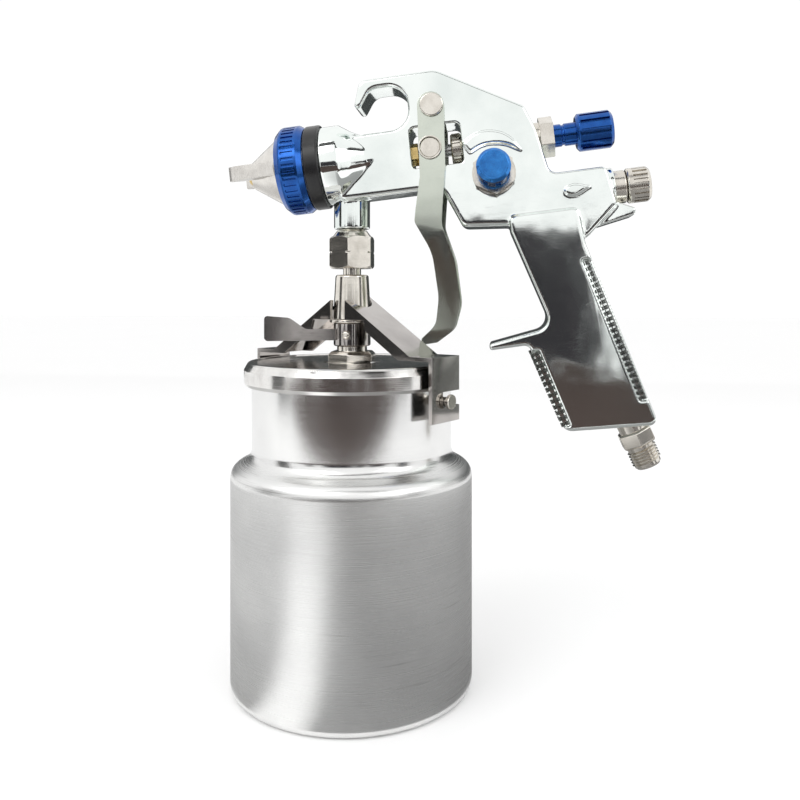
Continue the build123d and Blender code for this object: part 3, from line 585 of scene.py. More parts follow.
class Bench:
    """Lays out the nodes of one material."""

    def __init__(self, name: str) -> None:
        """Starts an empty material."""
        self.material = bpy.data.materials.new(name)
        self.material.use_nodes = True
        self.tree = self.material.node_tree
        self.tree.nodes.clear()
        self.place = self.node("ShaderNodeTexCoord").outputs["Object"]

    def node(
        self, kind: str, settings: dict | None = None, values: dict | None = None
    ) -> bpy.types.Node:
        """Adds a node.

        Args:
            kind: The node's type.
            settings: Attributes, set first.
            values: Sockets by name or number, each a value, a socket or a wire.

        Returns:
            The node.
        """
        made = self.tree.nodes.new(kind)
        for key, value in (settings or {}).items():
            setattr(made, key, value)
        for key, value in (values or {}).items():
            socket = made.inputs[key]
            value = value.socket if isinstance(value, Wire) else value
            if isinstance(value, bpy.types.NodeSocket):
                self.tree.links.new(value, socket)
            else:
                socket.default_value = value
        return made

    def wire(self, kind: str, settings: dict, values: dict, output: str | int = 0) -> Wire:
        """Adds a node and wraps one of its outputs."""
        return Wire(self, self.node(kind, settings, values).outputs[output])

    def noise(self, scale: float, detail: float = 2.0, vector: object = None) -> Wire:
        """Cloudy noise from 0 to 1 at a scale per metre."""
        values = {"Vector": vector or self.place, "Scale": scale, "Detail": detail}
        return self.wire("ShaderNodeTexNoise", {}, values, "Fac")

    def vector(self, operation: str, values: dict) -> bpy.types.NodeSocket:
        """Adds one Vector Math node and gives its vector."""
        return self.node("ShaderNodeVectorMath", {"operation": operation}, values).outputs[0]

    def measure(self, operation: str, values: dict) -> Wire:
        """Adds one Vector Math node and gives its number."""
        return self.wire("ShaderNodeVectorMath", {"operation": operation}, values, "Value")

    def stretched(self, squeeze: tuple[float, float, float]) -> bpy.types.NodeSocket:
        """Object coordinates multiplied axis by axis."""
        return self.vector("MULTIPLY", {0: self.place, 1: squeeze})

    def height_of(self) -> Wire:
        """The z of the object's coordinates, in metres."""
        return self.wire("ShaderNodeSeparateXYZ", {}, {0: self.place}, "Z")

    def about(self, axle: Axle) -> tuple[Wire, Wire]:
        """Distance from an axle and place along it, in metres.

        Args:
            axle: The line.

        Returns:
            The two wires.
        """
        direction = tuple(axle.direction.normalized())
        offset = self.vector("SUBTRACT", {0: self.place, 1: tuple(axle.point / 1000)})
        along = self.measure("DOT_PRODUCT", {0: offset, 1: direction})
        on_line = self.vector("SCALE", {0: direction, "Scale": along})
        radial = self.vector("SUBTRACT", {0: offset, 1: on_line})
        return self.measure("LENGTH", {0: radial}), along

    def turning(self, axle: Axle, lines: float) -> Wire:
        """Fine lines left by turning, as noise along the profile."""
        out, along = self.about(axle)
        values = {"W": (out + along) * lines, "Scale": 1.0, "Detail": 3.0}
        return self.wire("ShaderNodeTexNoise", {"noise_dimensions": "1D"}, values, "Fac")

    def mixed(self, factor: Wire, first: object, second: object) -> bpy.types.NodeSocket:
        """Blends two colours.

        Args:
            factor: Share of the second colour.
            first: Colour at 0, or a socket.
            second: Colour at 1, or a socket.

        Returns:
            The colour socket.
        """
        colours = [(*c, 1.0) if isinstance(c, tuple) else c for c in (first, second)]
        values = {"Factor": factor, 6: colours[0], 7: colours[1]}
        made = self.node("ShaderNodeMix", {"data_type": "RGBA"}, values)
        return made.outputs[2]

    def surface(
        self, constants: dict, varied: dict, relief: Wire | None = None, depth: float = 0.0
    ) -> Look:
        """Closes the material with a Principled shader.

        Args:
            constants: Plain values of the shader's sockets.
            varied: Sockets or wires for the sockets that vary.
            relief: Height for a bump.
            depth: The bump's distance in metres.

        Returns:
            The material.
        """
        links = dict(varied)
        if relief is not None:
            values = {"Height": relief, "Distance": depth, "Strength": 1.0}
            links["Normal"] = self.node("ShaderNodeBump", {}, values).outputs[0]
        shader = self.node("ShaderNodeBsdfPrincipled", {}, {**constants, **links})
        self.node("ShaderNodeOutputMaterial", {}, {0: shader.outputs[0]})
        return self.material


# ---------------------------------------------------------------- finishes


@dataclass(frozen=True)
class CastChrome:
    """Polished and plated casting: a bright mirror with soft waves, haze and fine wiping marks."""

    name: str
    tint: Colour = (0.90, 0.94, 0.915)
    shade: Colour = (0.66, 0.72, 0.70)
    polish: float = 0.055
    waves: float = 0.00012

    def material(self) -> Look:
        """Makes the material."""
        bench = Bench(self.name)
        haze = bench.noise(38.0, 4.0)
        wipes = bench.noise(1.0, 3.0, bench.stretched((260.0, 260.0, 1500.0)))
        colour = bench.mixed(haze.step(0.42, 0.72) * 0.6, self.tint, self.shade)
        rough = haze.step(0.35, 0.75) * 0.05 + wipes.step(0.55, 0.8) * 0.05 + self.polish
        relief = bench.noise(70.0, 1.0) + wipes * 0.012
        varied = {"Base Color": colour, "Roughness": rough}
        return bench.surface({"Metallic": 1.0}, varied, relief, self.waves)


@dataclass(frozen=True)
class TurnedMetal:
    """Metal turned about an axle: fine rings, a little tarnish and a worn sheen."""

    name: str
    axle: Axle
    tint: Colour
    shade: Colour
    rough: float = 0.16
    lines: float = 5200.0
    depth: float = 0.000006
    stretch: float = 0.0

    def material(self) -> Look:
        """Makes the material."""
        bench = Bench(self.name)
        rings = bench.turning(self.axle, self.lines)
        cloud = bench.noise(160.0, 4.0)
        colour = bench.mixed(cloud.step(0.4, 0.75) * 0.7 + rings * 0.15, self.tint, self.shade)
        rough = rings.step(0.3, 0.7) * 0.1 + cloud.step(0.45, 0.8) * 0.08 + self.rough
        constants = {"Metallic": 1.0, "Anisotropic": self.stretch}
        varied = {"Base Color": colour, "Roughness": rough}
        return bench.surface(constants, varied, rings, self.depth)


@dataclass(frozen=True)
class CupAluminium:
    """Satin aluminium of the cup: rings all round, a polished neck, stains and scuffs low down."""

    name: str
    axle: Axle
    shoulder: float = 0.100
    blend: float = 0.006
    clean: Colour = (0.86, 0.86, 0.85)
    cloudy: Colour = (0.73, 0.73, 0.725)
    stain: Colour = (0.20, 0.19, 0.18)

    def material(self) -> Look:
        """Makes the material."""
        bench = Bench(self.name)
        rings = bench.turning(self.axle, 5200.0)
        broad = bench.turning(self.axle, 700.0)
        cloud = bench.noise(26.0, 5.0)
        height = bench.height_of()
        neck = height.step(self.shoulder, self.shoulder + self.blend)
        scuff = bench.noise(1.0, 5.0, bench.stretched((22.0, 22.0, 900.0))).step(0.62, 0.74)
        patch = bench.noise(19.0, 2.0).step(0.52, 0.68)
        scuffed = scuff * patch * (1.0 - neck)
        clean = bench.mixed(cloud.step(0.38, 0.7), self.clean, self.cloudy)
        colour = bench.mixed(scuffed * 0.75, clean, self.stain)
        turned = (1.0 - neck) * 0.13 + rings.step(0.3, 0.7) * 0.08 + broad * 0.05
        rough = turned + 0.1 + scuffed * 0.2
        relief = rings + broad * 0.4 - scuffed * 0.8
        constants = {"Metallic": 1.0, "Anisotropic": 0.55}
        varied = {"Base Color": colour, "Roughness": rough}
        return bench.surface(constants, varied, relief, 0.000004)


@dataclass(frozen=True)
class Anodised:
    """Blue anodised aluminium with turning rings under a clear oxide."""

    name: str
    axle: Axle
    tint: Colour = (0.020, 0.125, 0.46)
    shade: Colour = (0.008, 0.050, 0.25)
    lines: float = 6500.0

    def material(self) -> Look:
        """Makes the material."""
        bench = Bench(self.name)
        rings = bench.turning(self.axle, self.lines)
        cloud = bench.noise(240.0, 3.0)
        colour = bench.mixed(cloud.step(0.3, 0.8) * 0.6 + rings * 0.3, self.tint, self.shade)
        rough = rings.step(0.3, 0.7) * 0.1 + cloud * 0.06 + 0.15
        constants = {"Metallic": 1.0, "Coat Roughness": 0.12, "Coat Weight": 0.25}
        varied = {"Base Color": colour, "Roughness": rough}
        return bench.surface(constants, varied, rings, 0.000008)


@dataclass(frozen=True)
class Moulded:
    """Plastic or rubber: a fine moulded grain and a cloudy tone."""

    name: str
    tint: Colour
    shade: Colour
    rough: float = 0.38
    grain: float = 2600.0

    def material(self) -> Look:
        """Makes the material."""
        bench = Bench(self.name)
        grain = bench.noise(self.grain, 3.0)
        cloud = bench.noise(120.0, 3.0)
        colour = bench.mixed(cloud.step(0.35, 0.75), self.tint, self.shade)
        rough = grain * 0.12 + cloud * 0.1 + self.rough
        varied = {"Base Color": colour, "Roughness": rough}
        return bench.surface({"Specular IOR Level": 0.5}, varied, grain, 0.00001)


class Finishes:
    """Every finish of the gun, made once."""

    def __init__(self, places: Places) -> None:
        """Makes the materials about the gun's axles.

        Args:
            places: The axles.
        """
        nickel = ((0.80, 0.765, 0.70), (0.56, 0.52, 0.46))
        satin = ((0.80, 0.775, 0.735), (0.60, 0.575, 0.54))
        polish = ((0.84, 0.83, 0.81), (0.62, 0.60, 0.58))
        brass = ((0.86, 0.66, 0.30), (0.55, 0.38, 0.14))
        steel = ((0.66, 0.66, 0.66), (0.42, 0.42, 0.42))
        # The grip beads' colours are a much darker copy of the body's chrome: painted shade on the
        # beaded grip bands.
        bead_painted_shade = ((0.34, 0.36, 0.34), (0.16, 0.17, 0.16))
        # The trigger's colours are a darker, greenish copy of the body's chrome: painted shade.
        greenish_painted_shade = ((0.66, 0.70, 0.62), (0.44, 0.48, 0.43))
        dark = ((0.50, 0.475, 0.455), (0.30, 0.28, 0.27))
        cup, gun = places.cup, places.gun

        def metal(
            name: str, axle: Axle, pair: tuple[Colour, Colour], *rest: float
        ) -> Look:
            """Turned metal of one pair of colours."""
            return TurnedMetal(name, axle, *pair, *rest).material()

        def moulded(name: str, tint: Colour, shade: Colour, rough: float) -> Look:
            """Plastic or rubber of one pair of colours."""
            return Moulded(name, tint, shade, rough).material()

        self.cup = CupAluminium("cup_aluminium_satin", cup).material()
        self.lid = metal("lid_polished", cup, polish, 0.09, 2600.0, 4e-6, 0.3)
        self.body = CastChrome("body_chrome_cast").material()
        # Rougher chrome for the grip beads, its colour painted dark as shade.
        self.grip = CastChrome("grip_chrome_dull_painted_shade", *bead_painted_shade, 0.2).material()
        # Satin roughness for the trigger is its finish; its darker tint is painted shade.
        self.lever = CastChrome("trigger_satin_painted_shade", *greenish_painted_shade, 0.16, 0.00008).material()
        self.dark = CastChrome("dark_chrome_sheet", *dark, 0.09, 0.00006).material()
        self.stem = metal("nickel_on_stem", cup, nickel, 0.10, 3000.0, 3e-6)
        self.gun = metal("nickel_on_gun", gun, nickel)
        self.fan = metal("nickel_on_fan", places.fan, nickel, 0.10)
        self.air = metal("nickel_on_air", places.air, nickel)
        self.inlet = metal("nickel_on_inlet", places.inlet, nickel)
        self.cap = metal("cap_nickel_satin", gun, satin, 0.20, 4200.0, 9e-6)
        self.brass = metal("brass_on_gun", gun, brass, 0.2)
        self.brass_stem = metal("brass_on_stem", cup, brass, 0.2)
        self.steel = metal("steel_turned", gun, steel, 0.2)
        self.steel_tube = metal("steel_tube", cup, steel, 0.2)
        self.blue = Anodised("blue_on_gun", gun).material()
        # The fan knob's blue is a lighter copy of the anodised blue: painted light on the knob's
        # face.
        self.blue_fan_painted_light = Anodised("blue_on_fan_painted_light", places.fan, (0.05, 0.30, 0.80)).material()
        self.black = moulded("black_moulded", (0.008, 0.008, 0.009), (0.018, 0.018, 0.017), 0.2)
        self.seal = moulded("seal_rubber", (0.03, 0.03, 0.03), (0.06, 0.058, 0.055), 0.5)
        self.ptfe = moulded("packing_ptfe", (0.86, 0.86, 0.83), (0.74, 0.73, 0.70), 0.4)


# ---------------------------------------------------------------- sub-assemblies


@dataclass
class Assembly:
    """What every sub-assembly works with. Their sizes are in millimetres.

    Args:
        shop: The modelling steps.
        finishes: The materials.
        places: The gun's axles.
    """

    shop: type[Workshop]
    finishes: Finishes
    places: Places


@dataclass
class Cup(Assembly):
    """The cup with its base round, shoulder, neck and rolled rim."""

    radius: float = 55.0
    neck: float = 45.5
    wall: float = 1.2
    base_round: float = 6.0
    shoulder_low: float = 98.0
    shoulder_high: float = 103.0
    height: float = 141.0
    segments: int = 192

    def build(self) -> None:
        """Makes the cup's shell and its studs."""
        inside = self.radius - self.wall
        throat = self.neck - self.wall
        corners = [
            (0.0, 1.0, 0),
            (0.0, self.radius - self.base_round - 2, 0),
            (0.0, self.radius, self.base_round),
            (self.shoulder_low, self.radius, 7.0),
            (self.shoulder_high, self.neck, 7.0),
            (self.height, self.neck, 0.5),
            (self.height, throat, 0.5),
            (self.shoulder_high - 0.4, throat, 6.0),
            (self.shoulder_low - 0.8, inside, 6.0),
            (self.wall + 0.5, inside, self.base_round - 1),
            (self.wall + 0.5, 1.0, 0),
        ]
        shell = self.shop.turned("cup_shell", rounded_profile(corners, 10), self.segments)
        place = self.places.cup.placement()
        self.shop.finished(shell, place, self.finishes.cup, "cup", Slot.CUP, "cup_body")
        stem = self.finishes.stem
        self.shop.rounded("cup_studs", 0.35, stem, "cup", Slot.NICKEL, "cup_stud_pair")


@dataclass
class Lid(Assembly):
    """The lid with its skirt, gland, tube and tapered sleeve."""

    under: float = 143.0
    top: float = 145.6
    skirt: float = 10.4
    inner: float = 45.9
    outer: float = 49.0
    hole: float = 7.1
    segments: int = 192

    def build(self) -> None:
        """Makes the lid's disc and rounds what stands on it."""
        foot = self.top - self.skirt
        corners = [
            (self.under, self.hole, 0),
            (self.under, self.inner, 0.4),
            (foot, self.inner, 0.3),
            (foot, self.outer - 0.7, 0.3),
            (foot + 1.4, self.outer, 0.6),
            (self.top - 3.4, self.outer, 0.5),
            (self.top, self.outer - 1.9, 1.6),
            (self.top, self.outer - 4.5, 0.2),
            (self.top - 0.35, self.outer - 5.2, 0.2),
            (self.top - 0.35, self.hole + 6.5, 0.2),
            (self.top, self.hole + 5.5, 0.2),
            (self.top, self.hole, 0),
        ]
        stations = rounded_profile(corners, 5)
        disc = self.shop.turned("lid_disc", stations, self.segments, ring=True)
        place = self.places.cup.placement()
        self.shop.finished(disc, place, self.finishes.lid, "lid", Slot.LID, "cup_lid")
        widths = {"lid_gland": 0.35, "stem_sleeve": 0.3, "stem_tube": 0.15}
        for node, width in widths.items():
            self.shop.rounded(node, width, self.finishes.stem, "lid", Slot.NICKEL)


@dataclass
class Clamp(Assembly):
    """The cam lever, its pin, the thrust washer, the pressed yoke and the swivel nut."""

    def build(self) -> None:
        """Rounds the pieces as pressed and cast metal."""
        parts = (
            ("cam_lever", "lever", 0.75, self.finishes.dark, Slot.DARK),
            ("lever_pin", "lever", 0.2, self.finishes.stem, Slot.NICKEL),
            ("thrust_washer", "clamp_travel", 0.3, self.finishes.stem, Slot.NICKEL),
            ("yoke", "yoke", 0.42, self.finishes.dark, Slot.DARK),
            ("swivel_nut", "swivel_nut", 0.22, self.finishes.stem, Slot.NICKEL),
        )
        for node, body, width, finish, slot in parts:
            self.shop.rounded(node, width, finish, body, slot)


@dataclass
class GunBody(Assembly):
    """The cast body: trunk, barrel, hook and handle with raised marks and beaded grip bands."""

    fan_centre: tuple[float, float] = (63.8, -14.6)
    flat: float = 10.0
    band_floor: float = 10.4
    bead: float = 1.7
    bead_pitch: float = 2.55
    rear_band: tuple = ((98.3, -58.4), (115.4, -118.6))
    front_band: tuple = ((72.4, -95.2), (81.9, -126.6))
    column: float = 2.1
    inset: float = 0.22
    point: float = 0.45
    bead_proud: float = 0.25
    sunk: float = 1.2
    proud: float = 0.9
    drop: tuple[float, float] = (93.6, -26.2)
    grain: float = 0.42
    quick_grain: float = 0.8
    passes: int = 7
    keep: float = 0.31
    smooth: float = 70

    def _mark(self, name: str, corners: Sequence[tuple[float, float, bool]]) -> Piece:
        """A raised mark that is sunk into the flat."""
        return self.shop.raised(name, corners, self.flat - self.sunk, self.flat + self.proud)

    def _wedge(self) -> Piece:
        """The crescent wedge above the fan control, blunt at the front and fine at the rear."""
        marks = (
            (128.0, 18.8, True),
            (108.0, 19.0, False),
            (86.0, 18.4, False),
            (62.0, 17.1, False),
            (39.0, 15.4, True),
            (62.0, 14.2, False),
            (86.0, 13.7, False),
            (108.0, 13.9, False),
            (130.0, 14.4, True),
        )
        corners = []
        for turn, reach, sharp in marks:
            angle = math.radians(turn)
            x = self.fan_centre[0] + reach * math.cos(angle)
            y = self.fan_centre[1] + reach * math.sin(angle)
            corners.append((x, y, sharp))
        return self._mark("wedge", corners)

    def _drop(self) -> Piece:
        """The small teardrop near the regulator's boss."""
        spots = ((0, 0, False), (2.2, 1.9, False), (9.6, 0.6, True), (2.2, -1.9, False))
        x, y = self.drop
        return self._mark("drop", [(x + right, y + up, sharp) for right, up, sharp in spots])

    def _bead(self) -> Piece:
        """One grip bead: a block whose face is inset and raised to a blunt point."""
        bpy.ops.object.select_all(action="DESELECT")
        bpy.ops.mesh.primitive_cube_add(size=self.bead)
        bead = bpy.context.object
        bead.name = "bead"
        self.shop.edit(bead)
        self.shop.pick(bead, lambda centre, normal: normal.z > 0.9)
        bpy.ops.mesh.inset(thickness=self.bead * self.inset, depth=self.point)
        bpy.ops.object.mode_set(mode="OBJECT")
        return bead

    def _beads(self) -> list[Piece]:
        """Rows of beads on the lowered bands of both sides."""
        model = self._bead()
        rows = []
        for start, end in (self.rear_band, self.front_band):
            low, high = Vector(start), Vector(end)
            way = (high - low).normalized()
            across = Vector((-way.y, way.x)) * self.column / 2
            count = int((high - low).length / self.bead_pitch)
            turn = Matrix.Rotation(math.atan2(way.y, way.x), 4, "Z")
            for side in (1, -1):
                flip = Matrix() if side > 0 else Matrix.Rotation(math.pi, 4, "X")
                for index in range(count + 1):
                    for column in (1, -1):
                        spot = low.lerp(high, index / count) + across * column
                        copy = bpy.data.objects.new("bead_copy", model.data.copy())
                        bpy.context.scene.collection.objects.link(copy)
                        level = side * (self.band_floor - self.bead / 2 + self.bead_proud)
                        move = Matrix.Translation((spot.x, spot.y, level))
                        copy.data.transform(move @ turn @ flip)
                        rows.append(copy)
        bpy.data.objects.remove(model)
        return rows

    def build(self) -> None:
        """Fuses the body with its marks into one cast skin and sets the grip beads on it."""
        body = self.shop.carried("gun_body", "gun_casting")
        body.data.transform(self.places.plane().inverted())
        self.shop.joined(body, self._wedge(), self._drop())
        grain = self.grain
        self.shop.cast(body, grain, self.passes, self.keep)
        place = self.places.plane()
        beads = self.shop.joined(*self._beads())
        beads.name = "grip_beads"
        # The beads take the darkened chrome: painted shade on the grip bands.
        self.shop.finished(beads, place, self.finishes.grip, "gun", Slot.BODY)
        shading = {"smooth": self.smooth, "flats": False}
        chrome = self.finishes.body
        self.shop.finished(body, place, chrome, "gun", Slot.BODY, "gun_body", **shading)


@dataclass
class Trigger(Assembly):
    """The trigger, its pivot and its bush."""

    def build(self) -> None:
        """Rounds the trigger's plates and the pins that carry it."""
        lever = self.finishes.lever
        # The trigger takes the darker chrome copy: painted shade.
        self.shop.rounded("trigger", 0.7, lever, "trigger", Slot.BODY, "trigger_blade")
        parts = (
            ("pivot_sleeve", "gun", 0.25),
            ("pivot_screw", "gun", 0.25),
            ("trigger_bush", "trigger_bush", 0.25),
            ("bush_washers", "trigger_bush", 0.2),
        )
        for node, body, width in parts:
            self.shop.rounded(node, width, self.finishes.fan, body, Slot.NICKEL)


@dataclass
class AirCapEnd(Assembly):
    """The knurled ring, the baffle ring, the cap with horns and the nozzle."""

    front: float = -32.3
    rear: float = -19.3
    radius: float = 20.25
    bore: float = 17.11
    lip: float = 15.9
    ledge: float = -30.45
    knurls: Flutes = Flutes(44, 2, 5, 0.6, 0.14)

    def build(self) -> None:
        """Makes the ring and rounds the cap's end."""
        corners = [
            (self.front, self.lip, 0),
            (self.front, self.radius - 2.6, 0.3),
            (self.front + 2.4, self.radius - 0.3, 0.4),
            (self.front + 3.2, self.radius, 0.2),
            (self.front + 3.9, self.radius, 0),
            (self.rear - 3.6, self.radius, 0),
            (self.rear - 2.4, self.radius, 0.2),
            (self.rear - 1.7, self.radius - 0.5, 0.2),
            (self.rear, self.radius - 1.6, 0.3),
            (self.rear, self.bore, 0),
            (self.ledge, self.bore, 0),
            (self.ledge, self.lip, 0),
        ]
        band = (self.front + 3.9, self.rear - 3.6)
        name = "air_cap_ring_knurled"
        ring = self.shop.fluted(name, corners, self.knurls, band, ring=True)
        place = self.places.gun.placement()
        blue = self.finishes.blue
        self.shop.finished(ring, place, blue, "air_cap_ring", Slot.BLUE, "air_cap_ring")
        parts = (
            ("baffle_ring", "gun", 0.3, self.finishes.black, Slot.BLACK),
            ("air_cap", "air_cap", 0.3, self.finishes.cap, Slot.CAP),
            ("fluid_nozzle", "gun", 0.15, self.finishes.brass, Slot.BRASS),
        )
        for node, body, width, finish, slot in parts:
            self.shop.rounded(node, width, finish, body, slot)


@dataclass
class FluidControl(Assembly):
    """The gland hexagon, the blue stem and the fluted knob behind it."""

    tip: float = 93.1
    floor: float = 95.6
    pocket: float = 111.5
    front: float = 101.7
    rear: float = 117.8
    radius: float = 8.35
    screw: float = 3.5
    plug: float = 1.8
    sleeve: float = 5.25
    flutes: Flutes = Flutes(12, 3, 8, 0.75, 0.2)

    def build(self) -> None:
        """Makes the knob and rounds the gland and stem."""
        corners = [
            (self.floor, 1.0, 0),
            (self.floor, self.plug, 0),
            (self.tip, self.plug, 0),
            (self.tip, self.screw, 0.2),
            (self.pocket, self.screw, 0),
            (self.pocket, self.sleeve, 0),
            (self.front, self.sleeve, 0.2),
            (self.front, self.radius - 1.4, 0.3),
            (self.front + 1.2, self.radius, 0.4),
            (self.front + 1.9, self.radius, 0),
            (self.rear - 1.5, self.radius, 0.5),
            (self.rear, self.radius - 1.6, 0.5),
            (self.rear, 4.6, 0),
            (self.rear - 0.5, 4.0, 0),
            (self.rear - 0.5, 1.0, 0),
        ]
        band = (self.front + 1.8, self.rear - 1.2)
        knob = self.shop.fluted("fluid_knob_fluted", corners, self.flutes, band)
        place = self.places.gun.placement()
        blue = self.finishes.blue
        self.shop.finished(knob, place, blue, "fluid_knob", Slot.BLUE, "fluid_knob")
        self.shop.rounded("fluid_stem", 0.2, blue, "gun", Slot.BLUE)
        self.shop.rounded("fluid_gland", 0.55, self.finishes.gun, "gun", Slot.NICKEL)


@dataclass
class FanControl(Assembly):
    """The fan control: flanged hexagon and lobed knob."""

    front: float = 20.0
    rear: float = 35.0
    radius: float = 7.2
    shaft: float = 3.0
    groove: float = 2.3
    lobes: Flutes = Flutes(8, 5, 12, 0.6, 0.28, 3)

    def build(self) -> None:
        """Makes the knob and rounds the hexagon."""
        corners = [
            (1.0, 0.3, 0),
            (4.0, self.shaft, 0),
            (12.0, self.shaft, 0),
            (12.0, self.groove, 0),
            (14.0, self.groove, 0),
            (14.0, self.shaft, 0),
            (self.front, self.shaft, 0),
            (self.front, self.radius - 0.8, 0.2),
            (self.front + 0.8, self.radius, 0.3),
            (self.front + 1.6, self.radius, 0),
            (self.rear - 1.5, self.radius, 0.4),
            (self.rear, self.radius - 1.2, 0.4),
            (self.rear, 1.0, 0),
        ]
        band = (self.front + 1.5, self.rear - 1.3)
        knob = self.shop.fluted("fan_knob_lobed", corners, self.lobes, band)
        place = self.places.fan.placement()
        # The fan knob takes the lighter blue copy: painted light.
        blue = self.finishes.blue_fan_painted_light
        self.shop.finished(knob, place, blue, "fan_knob", Slot.BLUE, "fan_knob")
        self.shop.rounded("fan_valve_body", 0.6, self.finishes.fan, "gun", Slot.NICKEL)


@dataclass
class AirControl(Assembly):
    """The air regulator behind the trunk, with its slotted knob."""

    front: float = 120.8
    rear: float = 130.8
    radius: float = 7.75
    shaft: float = 3.0
    groove: float = 2.3
    slots: Flutes = Flutes(22, 2, 5, 0.75, 0.14)

    def build(self) -> None:
        """Makes the knob and rounds the collar."""
        corners = [
            (101.0, 0.3, 0),
            (104.0, self.shaft, 0),
            (113.6, self.shaft, 0),
            (113.6, self.groove, 0),
            (115.6, self.groove, 0),
            (115.6, self.shaft, 0),
            (self.front, self.shaft, 0),
            (self.front, self.radius - 0.6, 0.2),
            (self.front + 0.6, self.radius, 0.2),
            (self.front + 2.4, self.radius, 0),
            (self.rear - 1.4, self.radius, 0.5),
            (self.rear, self.radius - 1.2, 0.5),
            (self.rear, 4.4, 0),
            (self.rear - 0.6, 3.8, 0),
            (self.rear - 0.6, 1.0, 0),
        ]
        band = (self.front + 2.4, self.rear - 0.9)
        knob = self.shop.fluted("air_knob_slotted", corners, self.slots, band)
        place = self.places.air.placement()
        nickel = self.finishes.air
        self.shop.finished(knob, place, nickel, "air_knob", Slot.NICKEL, "air_knob")
        self.shop.rounded("air_valve_housing", 0.3, nickel, "gun", Slot.NICKEL)


@dataclass
class Packing(Assembly):
    """The knurled packing nut in the trigger's window and its brass hexagon."""

    front: float = 46.15
    rear: float = 51.2
    end: float = 56.9
    radius: float = 7.2
    bore: float = 2.9
    shank: float = 5.0
    knurls: Flutes = Flutes(24, 2, 5, 0.6, 0.12)

    def build(self) -> None:
        """Makes the knurled nut."""
        corners = [
            (self.front, self.bore, 0),
            (self.front, self.radius - 0.8, 0.2),
            (self.front + 0.8, self.radius, 0.2),
            (self.rear - 0.8, self.radius, 0.2),
            (self.rear, self.radius - 0.8, 0.2),
            (self.rear, self.shank, 0),
            (self.end, self.shank, 0),
            (self.end, self.bore, 0),
        ]
        band = (self.front + 0.7, self.rear - 0.7)
        name = "air_packing_nut_knurled"
        nut = self.shop.fluted(name, corners, self.knurls, band, ring=True, bends=2)
        place = self.places.gun.placement()
        nickel = self.finishes.gun
        self.shop.finished(nut, place, nickel, "gun", Slot.NICKEL, "air_packing_nut")
        self.shop.rounded("fluid_packing_nut", 0.25, self.finishes.brass, "gun", Slot.BRASS)


@dataclass
class AirInlet(Assembly):
    """The inlet nipple: shank, chamfered hexagon and a real screw thread."""

    flats: float = 14.0
    hexagon: float = 7.0
    crest: float = 6.58
    root: float = 5.85
    pitch: float = 1.337
    length: float = 10.0
    bore: float = 4.0
    shank: float = 6.0
    shank_start: float = -11.5
    sides: int = 64
    thread_steps: int = 40

    def _thread(self) -> Piece:
        """One ridge of the thread carried round and along by an applied screw."""
        bpy.ops.object.select_all(action="DESELECT")
        bpy.ops.mesh.primitive_circle_add(vertices=3, radius=1, fill_type="NOTHING")
        ridge = bpy.context.object
        ridge.name = "thread"
        start = self.hexagon + 1.3
        inner = self.root - 0.3
        spots = ((inner, -self.pitch / 2), (self.crest, 0.0), (inner, self.pitch / 2))
        for vertex, (out, rise) in zip(ridge.data.vertices, spots):
            vertex.co = (out, 0, start + rise)
        turns = int((self.length - 2.6) / self.pitch)
        screw = ridge.modifiers.new("screw", "SCREW")
        screw.screw_offset = self.pitch
        screw.iterations = turns
        screw.steps = screw.render_steps = self.thread_steps
        screw.use_merge_vertices = False
        self.shop.alone(ridge)
        bpy.ops.object.modifier_apply(modifier=screw.name)
        self.shop.edit(ridge, "EDGE")
        bpy.ops.mesh.select_non_manifold()
        bpy.ops.mesh.fill_holes(sides=3)
        bpy.ops.mesh.select_all(action="SELECT")
        bpy.ops.mesh.normals_make_consistent(inside=False)
        bpy.ops.object.mode_set(mode="OBJECT")
        return ridge

    def build(self) -> None:
        """Makes the nipple from its shank, hexagon and thread."""
        end = self.hexagon + self.length
        corners = [
            (self.shank_start, self.bore, 0),
            (self.shank_start, self.shank, 0),
            (self.hexagon - 0.5, self.shank, 0),
            (self.hexagon + 0.4, self.root, 0),
            (end - 1.0, self.root, 0),
            (end, self.root - 0.8, 0.2),
            (end, self.bore + 0.5, 0),
            (end - 0.5, self.bore, 0),
        ]
        stations = rounded_profile(corners, 3)
        core = self.shop.turned("inlet_nipple", stations, self.sides, ring=True)
        corner = self.flats / math.sqrt(3)
        faces = [
            (0.05, self.bore + 1, 0),
            (0.05, corner - 0.9, 0),
            (0.8, corner, 0),
            (self.hexagon - 0.75, corner, 0),
            (self.hexagon, corner - 0.9, 0),
            (self.hexagon, self.bore + 1, 0),
        ]
        flats = self.shop.turned("inlet_hexagon", rounded_profile(faces), 6, ring=True)
        flats.data.transform(Matrix.Rotation(math.radians(30), 4, "Z"))
        self.shop.bevelled(flats, 0.3)
        nipple = self.shop.joined(core, flats, self._thread())
        middle = self.hexagon + self.length / 2
        place = self.places.inlet.placement() @ Matrix.Translation((0, 0, -middle))
        nickel = self.finishes.inlet
        self.shop.finished(nipple, place, nickel, "gun", Slot.NICKEL, "air_inlet_nipple")


